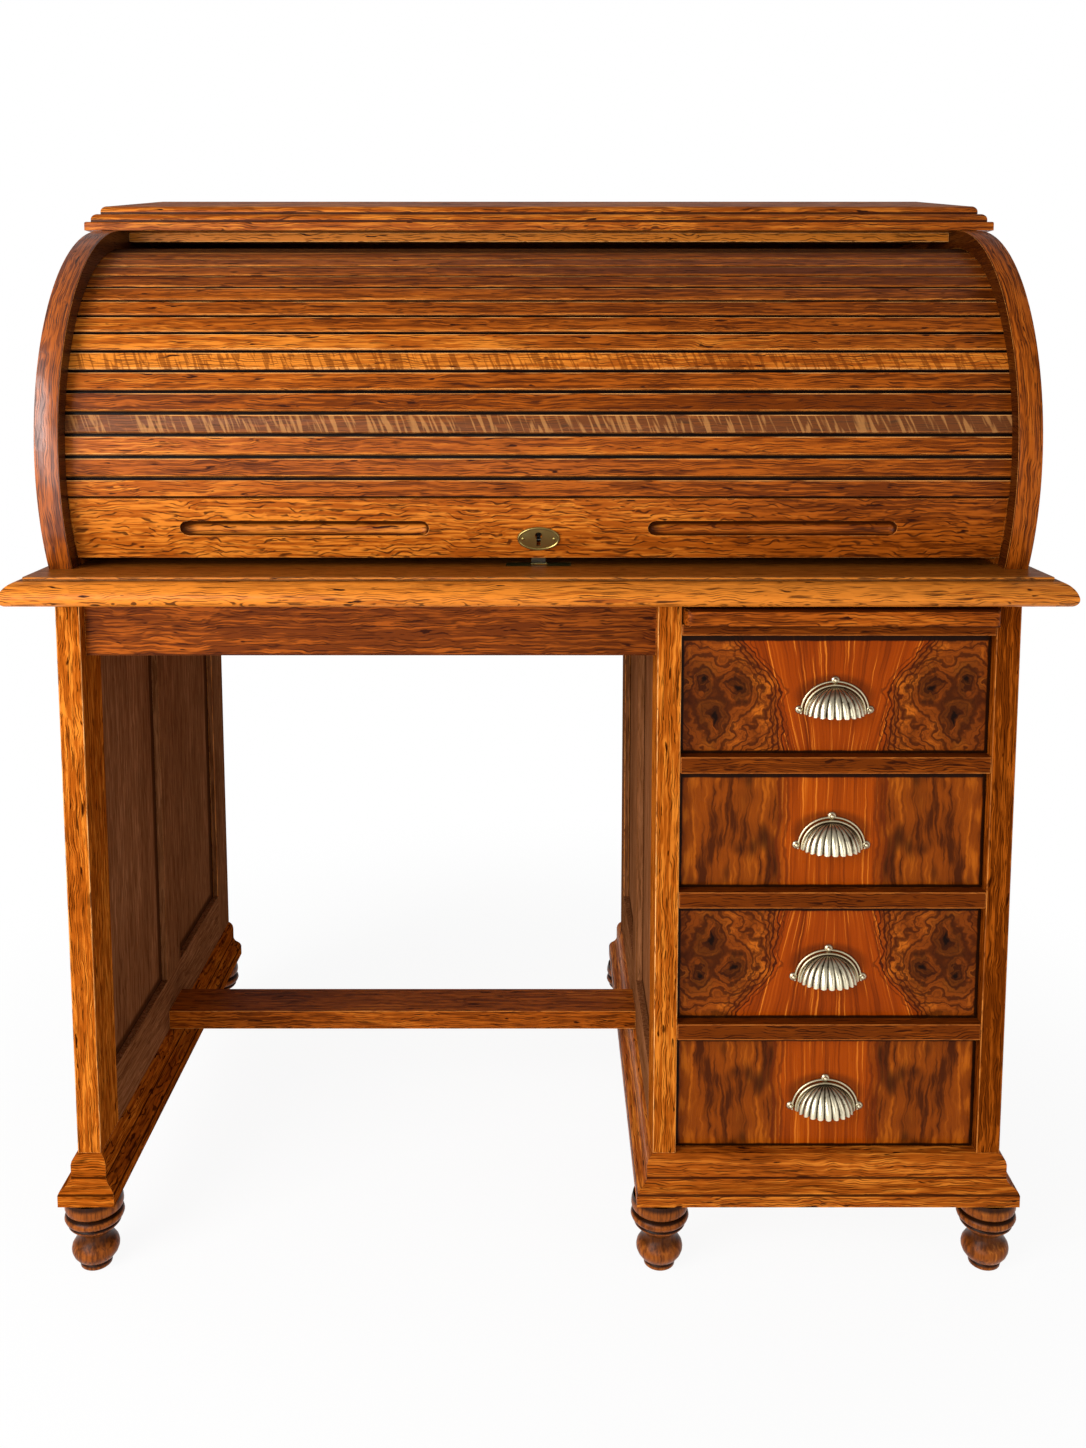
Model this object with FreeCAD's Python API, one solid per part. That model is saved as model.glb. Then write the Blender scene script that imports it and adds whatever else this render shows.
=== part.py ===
import FreeCAD, Part
import math
import os

from FreeCAD import Vector

# Roll-top writing desk with one pedestal of drawers, in millimetres.
# The origin is on the floor under the middle of the writing top. +X is to the right of a person who
# sits at the desk, +Y points away from them and +Z up. The tambour is drawn a little raised.

# Writing top
TOP_WIDTH = 1090.0
TOP_DEPTH = 660.0
TOP_THICKNESS = 28.0
TOP_HEIGHT = 771.0
TOP_FRONT_OVERHANG = 40.0
TOP_REAR_OVERHANG = 14.0
TOP_END_OVERHANG = 44.0
NOSE_RUN = 19.5
NOSE_QUIRK = 3.0
NOSE_DROP = 19.0
NOSE_SHOULDER_BULGE = 4.5
NOSE_UNDERCUT = 6.0
NOSE_UNDER_BULGE = 2.0

# Frames of stiles, rails, muntin and panels
FRAME_THICKNESS = 25.0
STILE_WIDTH = 62.0
MUNTIN_WIDTH = 60.0
BOTTOM_RAIL_HEIGHT = 66.0
TOP_RAIL_HEIGHT = 66.0
PANEL_THICKNESS = 10.0
PANEL_TONGUE = 8.0
TENON_LENGTH = 24.0
TENON_THICKNESS = 10.0
TENON_SHOULDER = 9.0
STUB_TENON = 6.0
STUB_SHOULDER = 4.0
JOINT_FIT = 0.1

# Plinths, from the floor side up
PLINTH_FILLET = 13.0
PLINTH_OGEE = 13.0
PLINTH_BAND = 15.5
PLINTH_CAP = 9.5
PLINTH_REACH = 18.0
PLINTH_CAP_REACH = 6.5
PLINTH_OGEE_BULGE = 1.1
PLINTH_CAP_BULGE = 1.6
PLINTH_CHORD_COUNT = 3
FLOOR_THICKNESS = 22.0

# Turned feet, from the floor up
FOOT_PAD_HEIGHT = 8.0
FOOT_BALL_HEIGHT = 28.0
FOOT_NECK_HEIGHT = 10.0
FOOT_CUP_HEIGHT = 12.0
FOOT_RING_HEIGHT = 12.0
FOOT_PAD_RADIUS = 15.0
FOOT_BALL_BULGE = 9.0
FOOT_NECK_RADIUS = 18.0
FOOT_CUP_RADIUS = 28.0
FOOT_RING_RADIUS = 28.0
FOOT_RING_BULGE = 4.0
FOOT_SPIGOT_RADIUS = 9.0
FOOT_SPIGOT_LENGTH = 20.0
FOOT_SETBACK = 27.0
FOOT_REAR_SETBACK = 32.0
FOOT_CHORD_COUNT = 3

# Pedestal
BAY_WIDTH = 327.0
DRAWER_COUNT = 4
DRAWER_RAIL_THICKNESS = 18.0
DRAWER_RAIL_DEPTH = 42.0
SLIDE_RAIL_THICKNESS = 12.0
SLIDE_BAY_HEIGHT = 25.0
RUNNER_WIDTH = 20.0
BACK_THICKNESS = 12.0
BACK_REBATE = 6.0

# Drawers
DRAWER_RECESS = 14.0
DRAWER_REAR_GAP = 40.0
DRAWER_FRONT_THICKNESS = 20.0
DRAWER_SIDE_THICKNESS = 10.0
DRAWER_BACK_THICKNESS = 10.0
DRAWER_BOTTOM_THICKNESS = 6.0
DRAWER_BOTTOM_LIFT = 10.0
DRAWER_GROOVE = 5.0
DRAWER_SIDE_DROP = 7.0
DRAWER_SIDE_GAP = 1.0
DRAWER_TOP_GAP = 1.5
RUNNING_GAP = 0.3
TAIL_COUNT = 3
TAIL_LENGTH = 13.0
TAIL_ROOT = 20.0
TAIL_FLARE = 2.0

# Shell pulls
PULL_HALF_WIDTH = 32.0
PULL_HEIGHT = 30.0
PULL_DEPTH = 23.0
PULL_WALL = 2.0
PULL_LOBES = 11
PULL_LOBE_RISE = 2.0
PULL_LOBE_CHORD_COUNT = 3
PULL_RINGS = 6
PULL_CROWN_ANGLE = 80.0
PULL_FLANGE = 4.0
PULL_FLANGE_THICKNESS = 2.0
PULL_LUG_RADIUS = 4.6
PULL_LUG_RISE = 4.0
PULL_DROP = 21.0

# Writing slide
SLIDE_THICKNESS = 19.0
SLIDE_REAR_GAP = 74.0
SLIDE_PROUD = 22.0
SLIDE_LIP_DEPTH = 26.0
SLIDE_LIP_CORNER = 9.0
SLIDE_LIP_ROUND = 5.0
SLIDE_TONGUE = 8.0
SLIDE_TONGUE_THICKNESS = 7.0
SLIDE_SIDE_GAP = 1.5

# Kneehole
APRON_HEIGHT = 61.0
APRON_THICKNESS = 22.0
APRON_RECESS = 14.0
STRETCHER_THICKNESS = 24.0
STRETCHER_WIDTH = 61.0
STRETCHER_LIFT = 1.0

# Roll case
ROLL_AXIS_BACK = 257.0
ROLL_AXIS_RISE = 116.0
ROLL_RADIUS = 254.0
SIDE_INSET = 28.0
SIDE_THICKNESS = 25.0
HEADER_HEIGHT = 11.0
HEADER_DEPTH = 20.0
HEADER_BACK = 14.0
CROWN_FRONT_BACK = -17.0
CROWN_END_OVERHANG = 18.0
CROWN_REAR_OVERHANG = 8.0
CROWN_FILLET = 10.0
CROWN_OVOLO = 10.0
CROWN_NECK = 10.0
CROWN_BEVEL_RISE = 11.0
CROWN_BEVEL_RUN = 58.0
CROWN_FIRST_STEP = 6.0
CROWN_SECOND_STEP = 9.0
CROWN_ROUND = 7.0
CROWN_ARRIS = 2.0

# Tambour
TAMBOUR_RECESS = 21.0
SLAT_THICKNESS = 10.0
SLAT_PITCH = 22.8
SLAT_COUNT = 20
SLAT_GAP = 0.6
SLAT_STRIP = 3.4
SLAT_QUIRK_WIDTH = 2.2
SLAT_QUIRK_DEPTH = 3.0
SLAT_STRIP_DROP = 0.8
SLAT_ARRIS = 1.0
GROOVE_DEPTH = 9.0
GROOVE_CLEARANCE = 0.6
GROOVE_END_CLEARANCE = 1.0
CANVAS_THICKNESS = 1.0
CANVAS_EDGE = 12.0
CANVAS_LAP = 18.0
CANVAS_END_GAP = 1.0
LIFT_RAIL_HEIGHT = 69.0
LIFT_RAIL_THICKNESS = 20.0
LIFT_RAIL_END_GAP = 1.0
CLOSED_GAP = 0.8
RAISED_GAP = 10.0
OPENING_ANGLE = 86.0
FINGER_GROOVE_LENGTH = 264.0
FINGER_GROOVE_RADIUS = 9.0
FINGER_GROOVE_DEPTH = 7.0
FINGER_GROOVE_CHORD_COUNT = 3
FINGER_GROOVE_CENTRE = 247.0

# Lock
LOCK_WIDTH = 64.0
LOCK_HEIGHT = 40.0
LOCK_DEPTH = 10.0
LOCK_WALL = 2.0
BOLT_WIDTH = 15.0
BOLT_THICKNESS = 4.4
BOLT_LENGTH = 28.0
BOLT_THROW = 7.0
BOLT_FIT = 0.3
KEYHOLE_RADIUS = 3.8
KEYHOLE_SLOT_WIDTH = 4.4
KEYHOLE_SLOT_LENGTH = 12.0
ESCUTCHEON_DROP = 11.6
ESCUTCHEON_HALF_WIDTH = 22.5
ESCUTCHEON_HALF_HEIGHT = 13.5
ESCUTCHEON_THICKNESS = 1.6
KEEPER_LENGTH = 70.0
KEEPER_MARGIN = 5.0
KEEPER_THICKNESS = 1.5
KEEPER_CLEARANCE = 1.5
KEEPER_DEPTH = 6.0

# Pigeonhole gallery
GALLERY_SETBACK = 290.0
GALLERY_DEPTH = 135.0
GALLERY_LOWER = 105.0
GALLERY_UPPER = 105.0
GALLERY_BOARD = 8.0
GALLERY_BACK = 6.0
GALLERY_LOWER_BAYS = 3
GALLERY_UPPER_BAYS = 6

# Places that follow from the sizes
FRONT = -TOP_DEPTH / 2 + TOP_FRONT_OVERHANG
REAR = TOP_DEPTH / 2 - TOP_REAR_OVERHANG
FRAME_DEPTH = REAR - FRONT
FRAME_TOP = TOP_HEIGHT - TOP_THICKNESS
FOOT_NECK_TOP = FOOT_PAD_HEIGHT + FOOT_BALL_HEIGHT + FOOT_NECK_HEIGHT
FOOT_HEIGHT = FOOT_NECK_TOP + FOOT_CUP_HEIGHT + 2 * FOOT_RING_HEIGHT
PLINTH_WALL = PLINTH_REACH + FRAME_THICKNESS
FRAME_BASE = FOOT_HEIGHT + PLINTH_FILLET + PLINTH_OGEE + PLINTH_BAND + PLINTH_CAP
FRAME_HEIGHT = FRAME_TOP - FRAME_BASE
LEFT_OUTSIDE = -TOP_WIDTH / 2 + TOP_END_OVERHANG
KNEE_LEFT = LEFT_OUTSIDE + FRAME_THICKNESS
RIGHT_OUTSIDE = TOP_WIDTH / 2 - TOP_END_OVERHANG
BAY_RIGHT = RIGHT_OUTSIDE - FRAME_THICKNESS
BAY_LEFT = BAY_RIGHT - BAY_WIDTH
KNEE_RIGHT = BAY_LEFT - FRAME_THICKNESS
SLIDE_FLOOR = FRAME_TOP - SLIDE_BAY_HEIGHT
DRAWER_CEILING = SLIDE_FLOOR - SLIDE_RAIL_THICKNESS
DRAWER_PITCH = (DRAWER_CEILING - FRAME_BASE + DRAWER_RAIL_THICKNESS) / DRAWER_COUNT
DRAWER_OPENING = DRAWER_PITCH - DRAWER_RAIL_THICKNESS
BAY_REAR = REAR - BACK_THICKNESS
AXIS_Y = FRONT + ROLL_AXIS_BACK
AXIS_Z = TOP_HEIGHT + ROLL_AXIS_RISE
CASE_TOP = AXIS_Z + ROLL_RADIUS
CASE_OUTSIDE = TOP_WIDTH / 2 - SIDE_INSET
CASE_INSIDE = CASE_OUTSIDE - SIDE_THICKNESS
TAMBOUR_FACE = ROLL_RADIUS - TAMBOUR_RECESS
TAMBOUR_BACK = TAMBOUR_FACE - SLAT_THICKNESS
SLAT_REACH = CASE_INSIDE + GROOVE_DEPTH - GROOVE_END_CLEARANCE
SLAT_ANGLE = math.degrees(SLAT_PITCH / TAMBOUR_FACE)
RAIL_HALF_ANGLE = math.degrees(math.atan(LIFT_RAIL_HEIGHT / 2 / TAMBOUR_FACE))
RAIL_CORNER = math.hypot(TAMBOUR_FACE, LIFT_RAIL_HEIGHT / 2)
RAIL_ANGLE_CLOSED = math.degrees(math.asin((CLOSED_GAP - ROLL_AXIS_RISE) / RAIL_CORNER)) + RAIL_HALF_ANGLE
RAIL_ANGLE = math.degrees(math.asin((RAISED_GAP - ROLL_AXIS_RISE) / RAIL_CORNER)) + RAIL_HALF_ANGLE
TAIL_ANGLE = RAIL_ANGLE + RAIL_HALF_ANGLE + SLAT_COUNT * SLAT_ANGLE
DRAWER_FACE = FRONT + DRAWER_RECESS
DRAWER_CENTRE = (BAY_LEFT + BAY_RIGHT) / 2
ACROSS = Vector(1, 0, 0)
ROLL_AXIS = Vector(0, AXIS_Y, AXIS_Z)


def box(xs, ys, zs):
    """Block between three pairs of low and high values."""
    return Part.makeBox(xs[1] - xs[0], ys[1] - ys[0], zs[1] - zs[0], Vector(xs[0], ys[0], zs[0]))


def about(centre, width):
    """Low and high value of a span of this width about its centre."""
    return (centre - width / 2, centre + width / 2)


def grown(span, by):
    """The span with both its ends moved outwards."""
    return (span[0] - by, span[1] + by)


def joined(*shapes):
    """One solid from pieces of the same board."""
    return shapes[0].fuse(list(shapes[1:])).removeSplitter()


def less(shape, *tools):
    """The shape with every tool cut out of it."""
    return shape.cut(list(tools))


def arc_point(start, stop, share):
    """Point at a share of the arc between two path points, where stop's third number is its bulge."""
    run = stop[0] - start[0]
    rise = stop[1] - start[1]
    chord = math.hypot(run, rise)
    half_turn = 2 * math.atan(2 * abs(stop[2]) / chord)
    radius = chord / 2 / math.sin(half_turn)
    turn = (2 * share - 1) * half_turn
    along = 0.5 + radius * math.sin(turn) / chord
    out = math.copysign(radius * (math.cos(turn) - math.cos(half_turn)), stop[2]) / chord
    return (start[0] + run * along - rise * out, start[1] + rise * along + run * out)


def edges_along(path, place):
    """Edges from point to point of a path; a third number at a point is the bulge of the arc to it."""
    edges = []
    for start, stop in zip(path, path[1:]):
        a = place(start[0], start[1])
        b = place(stop[0], stop[1])
        if len(stop) == 2:
            edges.append(Part.makeLine(a, b))
        else:
            middle = place(*arc_point(start, stop, 0.5))
            edges.append(Part.Arc(a, middle, b).toShape())
    return edges


def quarter_bulge(radius):
    """Bulge of a quarter circle."""
    return radius * (1 - math.sqrt(0.5))


def in_chords(path, count):
    """The path with each of its arcs divided into straight chords."""
    points = [path[0]]
    for start, stop in zip(path, path[1:]):
        steps = 1 if len(stop) == 2 else count
        for step in range(1, steps):
            points.append(arc_point(start, stop, step / steps))
        points.append(stop[:2])
    return points


def face_inside(path, place):
    """Flat face inside a path, closed from its last point to its first."""
    closing = Part.makeLine(place(*path[-1][:2]), place(*path[0][:2]))
    return Part.Face(Part.Wire(edges_along(path, place) + [closing]))


def bar_along_x(path, xs):
    """Solid whose section, a path in Y and Z, runs along X."""
    return face_inside(path, lambda y, z: Vector(xs[0], y, z)).extrude(Vector(xs[1] - xs[0], 0, 0))


def plate_up(path, zs):
    """Solid whose plan, a path in X and Y, runs up Z."""
    return face_inside(path, lambda x, y: Vector(x, y, zs[0])).extrude(Vector(0, 0, zs[1] - zs[0]))


def moulded_block(xs, ys, moulding, plain_rear=False):
    """Block with one moulding mitred round it; the moulding runs from top to bottom as (inset, height)."""

    def slab(low, high, low_side, high_side, place, run):
        edges = edges_along(low_side, lambda inset, z: place(low + inset, z))
        edges += edges_along(high_side, lambda inset, z: place(high - inset, z))
        for end in (0, -1):
            edges.append(Part.makeLine(
                place(low + low_side[end][0], low_side[end][1]),
                place(high - high_side[end][0], high_side[end][1]),
            ))
        return Part.Face(Part.Wire(Part.__sortEdges__(edges))).extrude(run)

    square = [(0, moulding[0][1]), (0, moulding[-1][1])]
    along_y = slab(
        xs[0], xs[1], moulding, moulding,
        lambda x, z: Vector(x, ys[0], z), Vector(0, ys[1] - ys[0], 0),
    )
    along_x = slab(
        ys[0], ys[1], moulding, square if plain_rear else moulding,
        lambda y, z: Vector(xs[0], y, z), Vector(xs[1] - xs[0], 0, 0),
    )
    return along_y.common(along_x)


def on_roll(shape, angle):
    """Shape drawn level with the roll's axis in front, turned up round the axis."""
    turned = shape.copy()
    turned.rotate(ROLL_AXIS, ACROSS, -angle)
    return turned


def save(name, *solids):
    """Write one node of one or more separate solids."""
    shape = solids[0] if len(solids) == 1 else Part.makeCompound(list(solids))
    shape.exportStep("parts/" + name + ".step")


def frame_and_panels(length, height):
    """Two stiles, two rails with a muntin between them and two panels, along +X from the origin."""
    middle = FRAME_THICKNESS / 2
    through = (0, FRAME_THICKNESS)
    mortise = about(middle, TENON_THICKNESS)
    tenon = grown(mortise, -JOINT_FIT)
    panel = about(middle, PANEL_THICKNESS)
    groove = grown(panel, JOINT_FIT)
    opening = (STILE_WIDTH, length - STILE_WIDTH)
    light = (BOTTOM_RAIL_HEIGHT, height - TOP_RAIL_HEIGHT)
    muntin_span = about(length / 2, MUNTIN_WIDTH)
    rail_spans = ((0, BOTTOM_RAIL_HEIGHT), (height - TOP_RAIL_HEIGHT, height))
    tenon_reach = TENON_LENGTH - JOINT_FIT
    panel_reach = PANEL_TONGUE - JOINT_FIT

    stiles = []
    for outside, inside, way in ((0, opening[0], -1), (length, opening[1], 1)):
        sockets = [box(sorted((inside, inside + way * PANEL_TONGUE)), groove, grown(light, PANEL_TONGUE))]
        for span in rail_spans:
            socket = sorted((inside, inside + way * TENON_LENGTH))
            sockets.append(box(socket, mortise, grown(span, -TENON_SHOULDER)))
        stiles.append(less(box(sorted((outside, inside)), through, (0, height)), *sockets))

    rails = []
    muntin_socket = grown(muntin_span, -TENON_SHOULDER)
    for span, edge, way in ((rail_spans[0], light[0], -1), (rail_spans[1], light[1], 1)):
        tongue = grown(span, -TENON_SHOULDER - JOINT_FIT)
        rail = joined(box(opening, through, span), box(grown(opening, tenon_reach), tenon, tongue))
        rails.append(less(
            rail,
            box(opening, groove, sorted((edge, edge + way * PANEL_TONGUE))),
            box(muntin_socket, mortise, sorted((edge, edge + way * TENON_LENGTH))),
        ))
    muntin = joined(
        box(muntin_span, through, light),
        box(grown(muntin_socket, -JOINT_FIT), tenon, grown(light, tenon_reach)),
    )
    muntin_grooves = [
        box((muntin_span[0], muntin_span[0] + PANEL_TONGUE), groove, light),
        box((muntin_span[1] - PANEL_TONGUE, muntin_span[1]), groove, light),
    ]
    rails.append(less(muntin, *muntin_grooves))

    bays = ((opening[0], muntin_span[0]), (muntin_span[1], opening[1]))
    panels = [box(grown(bay, panel_reach), panel, grown(light, panel_reach)) for bay in bays]
    return {"front_stile": stiles[0], "rear_stile": stiles[1], "rails": rails, "panels": panels}


def end_frame(inner_x):
    """Frame and panels stood front to back, with its faces from inner_x to the right."""

    def placed(shape):
        stood = shape.copy()
        stood.rotate(Vector(0, 0, 0), Vector(0, 0, 1), 90)
        stood.translate(Vector(inner_x + FRAME_THICKNESS, FRONT, FRAME_BASE))
        return stood

    frame = frame_and_panels(FRAME_DEPTH, FRAME_HEIGHT)
    frame["front_stile"] = placed(frame["front_stile"])
    frame["rear_stile"] = placed(frame["rear_stile"])
    frame["rails"] = [placed(rail) for rail in frame["rails"]]
    frame["panels"] = [placed(panel) for panel in frame["panels"]]
    return frame


def tenoned_board(xs, ys, zs, shoulder_y):
    """Board between two uprights with a stub tenon on each end."""
    tongue = box(
        grown(xs, STUB_TENON - JOINT_FIT),
        grown(ys, -shoulder_y - JOINT_FIT),
        grown(zs, -STUB_SHOULDER - JOINT_FIT),
    )
    return joined(box(xs, ys, zs), tongue)


def tenon_socket(xs, ys, zs, shoulder_y):
    """Cutter for the two sockets of such a board."""
    return box(grown(xs, STUB_TENON), grown(ys, -shoulder_y), grown(zs, -STUB_SHOULDER))


def drawer_floor(index):
    """Height of the opening's lower edge of a drawer counted from the top."""
    return FRAME_BASE + (DRAWER_COUNT - 1 - index) * DRAWER_PITCH


def foot():
    """Turned foot with a spigot, standing on the floor at the origin."""
    ball = FOOT_PAD_HEIGHT + FOOT_BALL_HEIGHT
    cup = FOOT_NECK_TOP + FOOT_CUP_HEIGHT
    first = cup + FOOT_RING_HEIGHT
    path = [
        (0, 0),
        (FOOT_PAD_RADIUS, 0),
        (FOOT_PAD_RADIUS, FOOT_PAD_HEIGHT),
        (FOOT_NECK_RADIUS, ball, -FOOT_BALL_BULGE),
        (FOOT_NECK_RADIUS, FOOT_NECK_TOP),
        (FOOT_CUP_RADIUS, cup),
        (FOOT_RING_RADIUS, first, -FOOT_RING_BULGE),
        (FOOT_RING_RADIUS, FOOT_HEIGHT, -FOOT_RING_BULGE),
        (FOOT_SPIGOT_RADIUS, FOOT_HEIGHT),
        (FOOT_SPIGOT_RADIUS, FOOT_HEIGHT + FOOT_SPIGOT_LENGTH - JOINT_FIT),
        (0, FOOT_HEIGHT + FOOT_SPIGOT_LENGTH - JOINT_FIT),
    ]
    profile = face_inside(in_chords(path, FOOT_CHORD_COUNT), lambda r, z: Vector(r, 0, z))
    return profile.revolve(Vector(0, 0, 0), Vector(0, 0, 1), 360)


def spigot_hole(x, y):
    """Cutter for the hole that a foot's spigot goes up into."""
    radius = FOOT_SPIGOT_RADIUS + JOINT_FIT
    return Part.makeCylinder(radius, FOOT_SPIGOT_LENGTH, Vector(x, y, FOOT_HEIGHT))


def plinth_moulding():
    """Plinth's edge from its top to its bottom, as inset from its widest line and height."""
    cap = PLINTH_REACH - PLINTH_CAP_REACH
    fillet = FOOT_HEIGHT + PLINTH_FILLET
    ogee = fillet + PLINTH_OGEE
    band = ogee + PLINTH_BAND
    return in_chords([
        (PLINTH_REACH, FRAME_BASE),
        (cap, band, -PLINTH_CAP_BULGE),
        (cap, ogee),
        (cap / 2, (fillet + ogee) / 2, PLINTH_OGEE_BULGE),
        (0, fillet, -PLINTH_OGEE_BULGE),
        (0, FOOT_HEIGHT),
    ], PLINTH_CHORD_COUNT)


def mitred_ring(block, xs, ys, wall):
    """Four mitred pieces of a moulded block, each of this width in plan: front, rear, left, right."""
    inner_x = grown(xs, -wall)
    inner_y = grown(ys, -wall)
    plans = (
        [(xs[0], ys[0]), (xs[1], ys[0]), (inner_x[1], inner_y[0]), (inner_x[0], inner_y[0])],
        [(xs[1], ys[1]), (xs[0], ys[1]), (inner_x[0], inner_y[1]), (inner_x[1], inner_y[1])],
        [(xs[0], ys[1]), (xs[0], ys[0]), (inner_x[0], inner_y[0]), (inner_x[0], inner_y[1])],
        [(xs[1], ys[0]), (xs[1], ys[1]), (inner_x[1], inner_y[1]), (inner_x[1], inner_y[0])],
    )
    return [block.common(plate_up(plan, (FOOT_HEIGHT, FRAME_BASE))) for plan in plans]


def build_base():
    """Plinths and turned feet, and the floor inside the pedestal's plinth."""
    foot_rows = (FRONT - PLINTH_REACH + FOOT_SETBACK, REAR - FOOT_REAR_SETBACK)
    ys = (FRONT - PLINTH_REACH, REAR)
    left_xs = grown((LEFT_OUTSIDE, KNEE_LEFT), PLINTH_REACH)
    left_x = (LEFT_OUTSIDE + KNEE_LEFT) / 2
    left_places = [(left_x, y) for y in foot_rows]
    left_block = moulded_block(left_xs, ys, plinth_moulding(), plain_rear=True)
    save("left_plinth", less(left_block, *[spigot_hole(x, y) for x, y in left_places]))

    xs = grown((KNEE_RIGHT, RIGHT_OUTSIDE), PLINTH_REACH)
    columns = grown(xs, -FOOT_SETBACK)
    places = [(x, y) for x in columns for y in foot_rows]
    holes = [spigot_hole(x, y) for x, y in places]
    block = moulded_block(xs, ys, plinth_moulding(), plain_rear=True)
    ring = mitred_ring(block, xs, ys, PLINTH_WALL)
    save("pedestal_plinth", *[less(piece, *holes) for piece in ring])
    floor_z = (FOOT_HEIGHT, FOOT_HEIGHT + FLOOR_THICKNESS)
    save("pedestal_floor", box(grown(xs, -PLINTH_WALL), grown(ys, -PLINTH_WALL), floor_z))
    turned = foot()
    save("turned_feet", *[turned.translated(Vector(x, y, 0)) for x, y in left_places + places])


def build_frames():
    """The left end, the pedestal's two sides and the boards that join them."""
    knee = (KNEE_LEFT, KNEE_RIGHT)
    bay = (BAY_LEFT, BAY_RIGHT)
    apron_z = (FRAME_TOP - APRON_HEIGHT, FRAME_TOP)
    front_apron = (knee, about(FRONT + APRON_RECESS + APRON_THICKNESS / 2, APRON_THICKNESS), apron_z)
    rear_apron = (knee, about(REAR - APRON_RECESS - APRON_THICKNESS / 2, APRON_THICKNESS), apron_z)
    stretcher_z = (FRAME_BASE + STRETCHER_LIFT, FRAME_BASE + STRETCHER_LIFT + STRETCHER_THICKNESS)
    stretcher = (knee, about((FRONT + REAR) / 2, STRETCHER_WIDTH), stretcher_z)
    shoulder = STUB_SHOULDER
    save("kneehole_apron", tenoned_board(*front_apron, shoulder))
    save("rear_apron", tenoned_board(*rear_apron, shoulder))
    save("stretcher", tenoned_board(*stretcher, shoulder))
    knee_sockets = [tenon_socket(*board, shoulder) for board in (front_apron, rear_apron, stretcher)]

    rail_y = (FRONT, FRONT + DRAWER_RAIL_DEPTH)
    rails = []
    for index in range(DRAWER_COUNT - 1):
        top = drawer_floor(index)
        rails.append((bay, rail_y, (top - DRAWER_RAIL_THICKNESS, top)))
    rails.append((bay, rail_y, (DRAWER_CEILING, SLIDE_FLOOR)))
    save("drawer_rails", *[tenoned_board(*rail, shoulder) for rail in rails])
    bay_sockets = [tenon_socket(*rail, shoulder) for rail in rails]

    back_x = grown(bay, BACK_REBATE)
    back_y = (BAY_REAR, REAR)
    rebate = box(back_x, back_y, (FRAME_BASE, FRAME_TOP))
    save("pedestal_back", box(grown(back_x, -JOINT_FIT), back_y, (FRAME_BASE, FRAME_TOP)))

    cuts = {
        "left_end": (LEFT_OUTSIDE, knee_sockets),
        "pedestal_inner": (KNEE_RIGHT, knee_sockets + bay_sockets + [rebate]),
        "pedestal_outer": (BAY_RIGHT, bay_sockets + [rebate]),
    }
    for name, (inner_x, sockets) in cuts.items():
        frame = end_frame(inner_x)
        save(name + "_front_stile", less(frame["front_stile"], *sockets))
        save(name + "_rear_stile", less(frame["rear_stile"], *sockets))
        save(name + "_rails", *[less(rail, *sockets) for rail in frame["rails"]])
        save(name + "_panels", *frame["panels"])
    build_runners(bay, rail_y[1])


def build_runners(bay, start_y):
    """Strips on both walls of the pedestal that carry the drawers and the slide, and hold the slide down."""
    run_y = (start_y, BAY_REAR)
    lowest = (FRONT - PLINTH_REACH + PLINTH_WALL, REAR - PLINTH_WALL)
    levels = [(drawer_floor(index), DRAWER_RAIL_THICKNESS, run_y) for index in range(DRAWER_COUNT - 1)]
    levels.append((FRAME_BASE, DRAWER_RAIL_THICKNESS, lowest))
    levels.append((SLIDE_FLOOR, SLIDE_RAIL_THICKNESS, run_y))
    kicker = SLIDE_BAY_HEIGHT - SLIDE_THICKNESS - 2 * RUNNING_GAP
    levels.append((FRAME_TOP, kicker, run_y))
    strips = []
    for top, thickness, ys in levels:
        for xs in ((bay[0], bay[0] + RUNNER_WIDTH), (bay[1] - RUNNER_WIDTH, bay[1])):
            strips.append(box(xs, ys, (top - thickness, top)))
    save("drawer_runners", *strips)


def tails(side_x, root_y, zs, slack):
    """Dovetails on the front end of a drawer side, or their sockets when there is slack."""
    pitch = (zs[1] - zs[0]) / TAIL_COUNT
    shapes = []
    for index in range(TAIL_COUNT):
        centre = zs[0] + (index + 0.5) * pitch
        root = TAIL_ROOT / 2 + slack
        tip = root + TAIL_FLARE
        path = [
            (root_y, centre - root),
            (root_y, centre + root),
            (root_y - TAIL_LENGTH - slack, centre + tip),
            (root_y - TAIL_LENGTH - slack, centre - tip),
        ]
        shapes.append(bar_along_x(path, side_x))
    return shapes


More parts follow.
